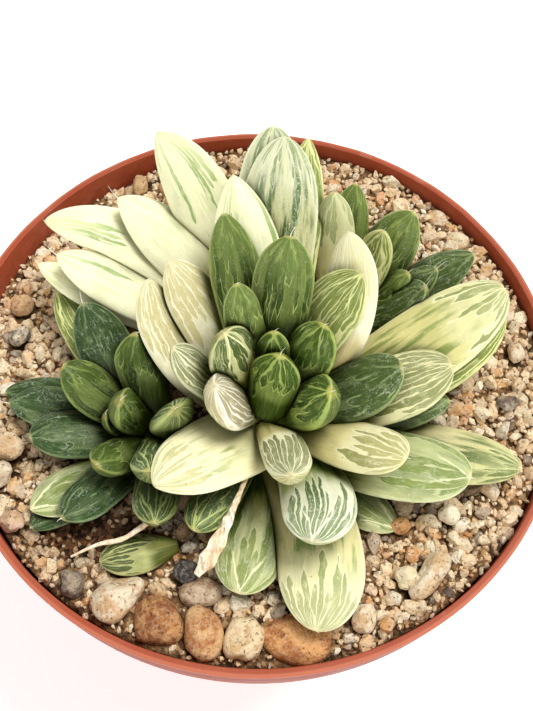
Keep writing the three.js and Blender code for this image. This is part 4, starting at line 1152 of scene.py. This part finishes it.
for k, (name, place, size, turn, light, dark, rough) in enumerate(STONES):
    stone = pebble(name or f"pebble_{k}", place, size, turn, 100 + k, light, dark, rough, stone_finish)
    if name:
        stone.name = name + "_worn"
        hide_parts(name)
        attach(stone, "root")
        set_stones.append(stone)
    else:
        loose_stones.append(stone)
pebbles = one_piece("pebbles_small", loose_stones)
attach(pebbles, "root")


# Grit: crushed pumice, cream to tan with a few dark and rusty grains, poured over the mix and round the
# leaves. Dark fines lie between the grains, and more of them show in the front left.

# Heights above the table, distances and radii, in millimetres.
GRIT_LOW, GRIT_HIGH, GRIT_WAVE = 77, 79.6, 0.4
MIX_TOP = 73
GAP = 0.3
GRIT_STEP = 0.9
FINES_SINK = 0.85
FINES_WAVE = 0.16
WALL_IN = RIM - LIP_W - COLLAR_IN / 2
BED = RIM - LIP_W - COLLAR_IN - GAP
BED_FOOT = BED - 1.5
BED_TURN = 2.2


def grit_height(x, y):
    """The grit lies low at the back left, and higher at the front and on the right."""
    front = np.clip((-y + 0.35 * x + 30) / 75, 0, 1)
    right_back = np.clip((x + 36) / 24, 0, 1) * np.clip((y + 10) / 30, 0, 1)
    high = np.maximum(front, right_back)
    wave = np.sin(0.31 * x + 1) * np.cos(0.27 * y) + 0.5 * np.sin(0.55 * x - 0.4 * y)
    return GRIT_LOW + (GRIT_HIGH - GRIT_LOW) * high * high * (3 - 2 * high) + GRIT_WAVE * wave


def grit_fines():
    finish = Finish("grit_fines", Specular_IOR_Level=0.15)
    place = finish.place()
    speck = finish.node("ShaderNodeTexVoronoi", {"Vector": place, "Scale": 1.5}, "Color")
    soil = finish.mark("soil")
    shut = finish.mark("shut")
    shade = finish.noise(place, 1.5, 4.0, 0.7)
    colour = finish.mixed(shade.rise(0.35, 0.7), tone(54, 38, 25), tone(152, 114, 76))
    colour = finish.mixed(finish.parts(speck)[0].rise(0.72, 0.8) * 0.7, colour, tone(186, 152, 108))
    bark = finish.mixed(finish.parts(speck)[1].rise(0.3, 0.8), tone(30, 18, 10), tone(104, 64, 36))
    colour = finish.mixed(soil * 0.9, colour, bark)
    # Painted shade: the fines are darker where the leaves above shut out the light.
    colour = finish.mixed(shut.rise(0.3, 0.85) * 0.85, colour, tone(70, 52, 36), "MULTIPLY")
    return finish.coat(colour, 0.8 + 0.15 * shade, shade, 0.9)


rings = int(BED / GRIT_STEP)
around = 240
angles = 2 * np.pi * np.arange(around) / around
radii = BED * np.arange(1, rings + 1) / rings
flat = np.stack([np.outer(radii, np.cos(angles)), np.outer(radii, np.sin(angles))], -1).reshape(-1, 2)
flat = np.vstack([[[0, 0]], flat])
draw = np.random.default_rng(11)
surface = grit_height(flat[:, 0], flat[:, 1])
top = np.column_stack([flat, surface - FINES_SINK + draw.normal(0, FINES_WAVE, len(flat))])
edge = flat[-around:]
lower_ring = np.column_stack([edge, np.full(around, MIX_TOP + GAP + BED_TURN)])
foot_ring = np.column_stack([edge * BED_FOOT / BED, np.full(around, MIX_TOP + GAP)])
bed_points = np.vstack([top, lower_ring, foot_ring, [[0, 0, MIX_TOP + GAP]]])


def ring_faces(first, last):
    """The faces between each two neighbouring rings, from the first to the last."""
    faces = []
    for ring in range(first, last):
        for k in range(around):
            here, next_one = 1 + ring * around + k, 1 + ring * around + (k + 1) % around
            faces.append((here, here + around, next_one + around, next_one))
    return faces


top_faces = [(0, 1 + k, 1 + (k + 1) % around) for k in range(around)] + ring_faces(0, rings - 1)
bed_faces = top_faces + ring_faces(rings - 1, rings + 1)
foot_start = 1 + (rings + 1) * around
bed_faces += [(len(bed_points) - 1, foot_start + (k + 1) % around, foot_start + k) for k in range(around)]
bed = body("grit_fines", bed_points, bed_faces, grit_fines())
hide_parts("grit_bed")
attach(bed, "root")

# The surface that the grains lie on: how far each of its points is from leaves and stones, how bare the mix
# lies there, and how much of the light the leaves above it shut out.
LEAST_ROOM = 0.27
SHADE_REACH = 2 * CROWD_REACH
patch = body("grit_surface", np.column_stack([flat, surface]), top_faces, mix_finish)
solids = as_one(leaf_pieces + set_stones + [pebbles])
room = []
soil = []
shut = []
for vertex in patch.data.vertices:
    nearest, normal, _, away = solids.find_nearest(vertex.co)
    x, y, _ = vertex.co / MM
    bare = 1.3 - ((x + 25) / 15) ** 2 - ((y + 32.5) / 5.5) ** 2
    bare = min(1, max(0, bare + 0.35 * math.sin(x * 0.9) * math.cos(y * 1.3)))
    soil.append(bare)
    within = (vertex.co - nearest).dot(normal) < 0
    away = -away if within else min(away, (LEAST_ROOM + 2 * (1 - bare)) * MM)
    room.append(min(away, (WALL_IN - math.hypot(x, y)) * MM / 1.8))
    start = vertex.co + Vector((0, 0, MM))
    hidden = [solids.ray_cast(start, Vector(ray), SHADE_REACH)[3] for ray in rays]
    shut.append(sum(away is not None for away in hidden) / CROWD_RAYS)
note(patch, "room", room)
below = [0.0] * (len(bed_points) - len(room))
for name, values in (("soil", soil), ("shut", shut)):
    note(patch, name, values)
    note(bed, name, values + below)


# Flats on each crushed grain, the angle (degrees) from which its edges look sharp, and its least and greatest
# size in each direction, where a round one has 1.
GRAIN_FLATS = 9
GRAIN_EDGE = 26
GRAIN_LEAST = [0.95, 0.56, 0.5]
GRAIN_MOST = [1.1, 0.9, 0.76]


def grain_shapes(name, corners, count, seed):
    """A few crushed grains one metre long, to be made small where they lie."""
    shelf = bpy.data.collections.new(name)
    draw = np.random.default_rng(seed)
    for k in range(count):
        turns = np.arange(corners) + 0.5
        slope = np.arccos(1 - 2 * turns / corners)
        swing = np.pi * (1 + 5 ** 0.5) * turns
        rays = np.stack([np.cos(swing) * np.sin(slope), np.sin(swing) * np.sin(slope), np.cos(slope)], 1)
        rays = unit(rays + draw.normal(0, 0.2, rays.shape))
        planes = unit(draw.normal(size=(GRAIN_FLATS, 3)))
        limits = to_flats(rays, planes, draw.uniform(0.5, 0.8, GRAIN_FLATS)).min(1)
        rays = rays * np.minimum(1, limits)[:, None] * (1 + draw.normal(0, 0.05, (corners, 1)))
        rays = rays * draw.uniform(GRAIN_LEAST, GRAIN_MOST)
        rays = rays / (2 * np.abs(rays).max())
        shape = bmesh.new()
        for ray in rays:
            shape.verts.new(ray)
        bmesh.ops.convex_hull(shape, input=shape.verts)
        loose = [v for v in shape.verts if not v.link_faces]
        bmesh.ops.delete(shape, geom=loose, context="VERTS")
        bmesh.ops.recalc_face_normals(shape, faces=shape.faces)
        mesh = bpy.data.meshes.new(f"{name}_{k}")
        shape.to_mesh(mesh)
        shape.free()
        mesh.shade_smooth()
        mesh.set_sharp_from_angle(angle=math.radians(GRAIN_EDGE))
        shelf.objects.link(bpy.data.objects.new(mesh.name, mesh))
    return shelf


# The most grains per square metre, how near to a leaf or a stone a grain may lie (as a share of its size),
# and a full turn about each axis.
MOST_GRAINS = 3e6
NEAREST = 0.2
FULL_TURN = (6.283, 6.283, 6.283)


def grit_tree():
    """Lays a grain on each of many spots, but for those nearer to a leaf than NEAREST of its size."""
    growth, given = tree_with("grit", {
        "Spacing": "Float", "Smallest": "Float", "Largest": "Float", "Sink": "Float", "Seed": "Int",
        "Grains": "Collection", "Finish": "Material"})
    spots = growth.node("GeometryNodeDistributePointsOnFaces",
                        {"Mesh": given["Geometry"], "Distance Min": given["Spacing"],
                         "Density Max": MOST_GRAINS, "Seed": given["Seed"]}, "Points",
                        distribute_method="POISSON")
    chance = growth.chance("FLOAT", 0.0, 1.0, given["Seed"] + 1)
    size = given["Smallest"] + (given["Largest"] - given["Smallest"]) * chance * chance
    crowded = growth.node("FunctionNodeCompare", {"A": growth.noted("room"), "B": size * NEAREST},
                          data_type="FLOAT", operation="LESS_THAN")
    free = growth.node("GeometryNodeDeleteGeometry", {"Geometry": spots, "Selection": crowded},
                       domain="POINT")
    sunk = growth.node("ShaderNodeCombineXYZ", {"Z": given["Sink"] * size * -1})
    laid = growth.node("GeometryNodeSetPosition", {"Geometry": free, "Offset": sunk})
    turn = growth.chance("FLOAT_VECTOR", (0, 0, 0), FULL_TURN, given["Seed"] + 2)
    pick = growth.chance("INT", 0, 50, given["Seed"] + 3)
    grains = growth.node("GeometryNodeCollectionInfo",
                         {"Collection": given["Grains"], "Separate Children": True, "Reset Children": True})
    poured = growth.node("GeometryNodeInstanceOnPoints",
                         {"Points": laid, "Instance": grains, "Pick Instance": True, "Instance Index": pick,
                          "Rotation": turn, "Scale": size})
    tint = growth.chance("FLOAT", 0.0, 1.0, given["Seed"] + 4)
    tinted = growth.node("GeometryNodeStoreNamedAttribute",
                         {"Geometry": poured, "Name": "tint", "Value": tint},
                         data_type="FLOAT", domain="INSTANCE")
    real = growth.node("GeometryNodeRealizeInstances", {"Geometry": tinted})
    done = growth.node("GeometryNodeSetMaterial", {"Geometry": real, "Material": given["Finish"]})
    growth.node("NodeGroupOutput", {"Geometry": done})
    return growth.tree


def pumice():
    finish = Finish("pumice", Specular_IOR_Level=0.2)
    place = finish.place()
    tint = finish.mark("tint")
    stops = [(0.0, tone(96, 88, 82)), (0.04, tone(176, 158, 136)), (0.1, tone(240, 210, 166)),
             (0.35, tone(254, 226, 182)), (0.55, tone(255, 243, 208)), (0.78, tone(248, 206, 150)),
             (0.9, tone(222, 158, 96)), (0.96, tone(255, 246, 220))]
    colour = finish.node("ShaderNodeValToRGB", {0: tint}, stops=stops)
    grain = finish.noise(finish.moved(place, finish.joined(tint * 50, 0.0)), 0.8, 4.0, 0.7)
    patches = finish.noise(place, 1.8, 2.0)
    pits = finish.noise(place, 0.5, 2.0).rise(0.62, 0.72)
    colour = finish.mixed(patches.rise(0.35, 0.65) * 0.35, colour, tone(254, 240, 214))
    colour = finish.mixed(grain.rise(0.6, 0.4) * 0.26, colour, tone(190, 140, 90))
    colour = finish.mixed(pits * 0.45, colour, tone(116, 78, 48))
    soil = finish.mark("soil")
    shut = finish.mark("shut")
    brown = finish.mixed(grain.rise(0.4, 0.6), tone(92, 58, 34), tone(176, 138, 100))
    colour = finish.mixed(soil * 0.7, colour, brown)
    # Painted shade: the grains are darker where the leaves above shut out the light.
    colour = finish.mixed(shut.rise(0.3, 0.85) * 0.85, colour, tone(84, 66, 46), "MULTIPLY")
    return finish.coat(colour, 0.72 + 0.2 * grain, grain + patches * 0.5 - pits, 0.6)


pumice_finish = pumice()
tree = grit_tree()
coarse_shapes = grain_shapes("coarse_grains", 28, 9, 5)
fine_shapes = grain_shapes("fine_grains", 16, 7, 6)
# Name, grains, least distance between two, smallest and largest size (mm), how much of its size each grain
# lies below the surface, and the seed of its random draws.
GRIT_LAYERS = [
    ("grit_coarse", coarse_shapes, 4.6, 3.3, 5.2, 0.08, 21),
    ("grit_medium", coarse_shapes, 2.4, 2.5, 4.2, 0.25, 22),
    ("grit_medium_low", coarse_shapes, 1.9, 2.0, 3.2, 0.55, 23),
    ("grit_small", fine_shapes, 1.1, 1.0, 2.0, 0.5, 24),
]
for name, shapes, spacing, smallest, largest, sink, seed in GRIT_LAYERS:
    layer = bpy.data.objects.new(name, patch.data.copy())
    bpy.context.scene.collection.objects.link(layer)
    grow(layer, tree, Spacing=spacing * MM, Smallest=smallest * MM, Largest=largest * MM, Sink=sink,
         Seed=seed, Grains=shapes, Finish=pumice_finish)
    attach(layer, "root")
bpy.data.objects.remove(patch)
for shelf in (coarse_shapes, fine_shapes):
    for shape in list(shelf.objects):
        bpy.data.objects.remove(shape)
    bpy.data.collections.remove(shelf)


# Studio: a plain white table lit from below, white surroundings that are brightest near the horizon, a
# broad soft light overhead and a weaker one in front.
TABLE = 9000
table_corners = [(-TABLE, -TABLE, 0), (TABLE, -TABLE, 0), (TABLE, TABLE, 0), (-TABLE, TABLE, 0)]
lit_table = Finish("lit_table", Roughness=0.9, Base_Color=(0.93, 0.93, 0.93, 1),
                   Emission_Color=(1, 1, 1, 1), Emission_Strength=0.45)
floor = body("floor", table_corners, [(0, 1, 2, 3)], lit_table.material)
sky = bpy.data.worlds.new("surroundings")
sky.use_nodes = True
heaven = Wiring(sky.node_tree)
way_up = heaven.node("ShaderNodeTexCoord", output="Generated")
steep = heaven.node("ShaderNodeSeparateXYZ", {0: way_up}, "Z")
glow = sky.node_tree.nodes["Background"]
glow.inputs["Color"].default_value = (1, 1, 1, 1)
OVERHEAD = 0.24
heaven.feed(glow.inputs["Strength"], OVERHEAD + steep.rise(0.44, 0.36) * (1 - OVERHEAD))
bpy.context.scene.world = sky
# Name, strength, spread in degrees, and the way it shines.
LAMPS = [("soft_overhead", 2.9, 26, (-0.35, -0.25, -1)), ("soft_front", 1.1, 50, (-0.1, 0.9, -0.75))]
for name, strength, spread, way in LAMPS:
    lamp_data = bpy.data.lights.new(name, "SUN")
    lamp_data.energy = strength
    lamp_data.angle = math.radians(spread)
    lamp = bpy.data.objects.new(name, lamp_data)
    bpy.context.scene.collection.objects.link(lamp)
    lamp.rotation_euler = Vector(way).to_track_quat("-Z", "Y").to_euler()
bpy.context.scene.view_settings.view_transform = "Standard"
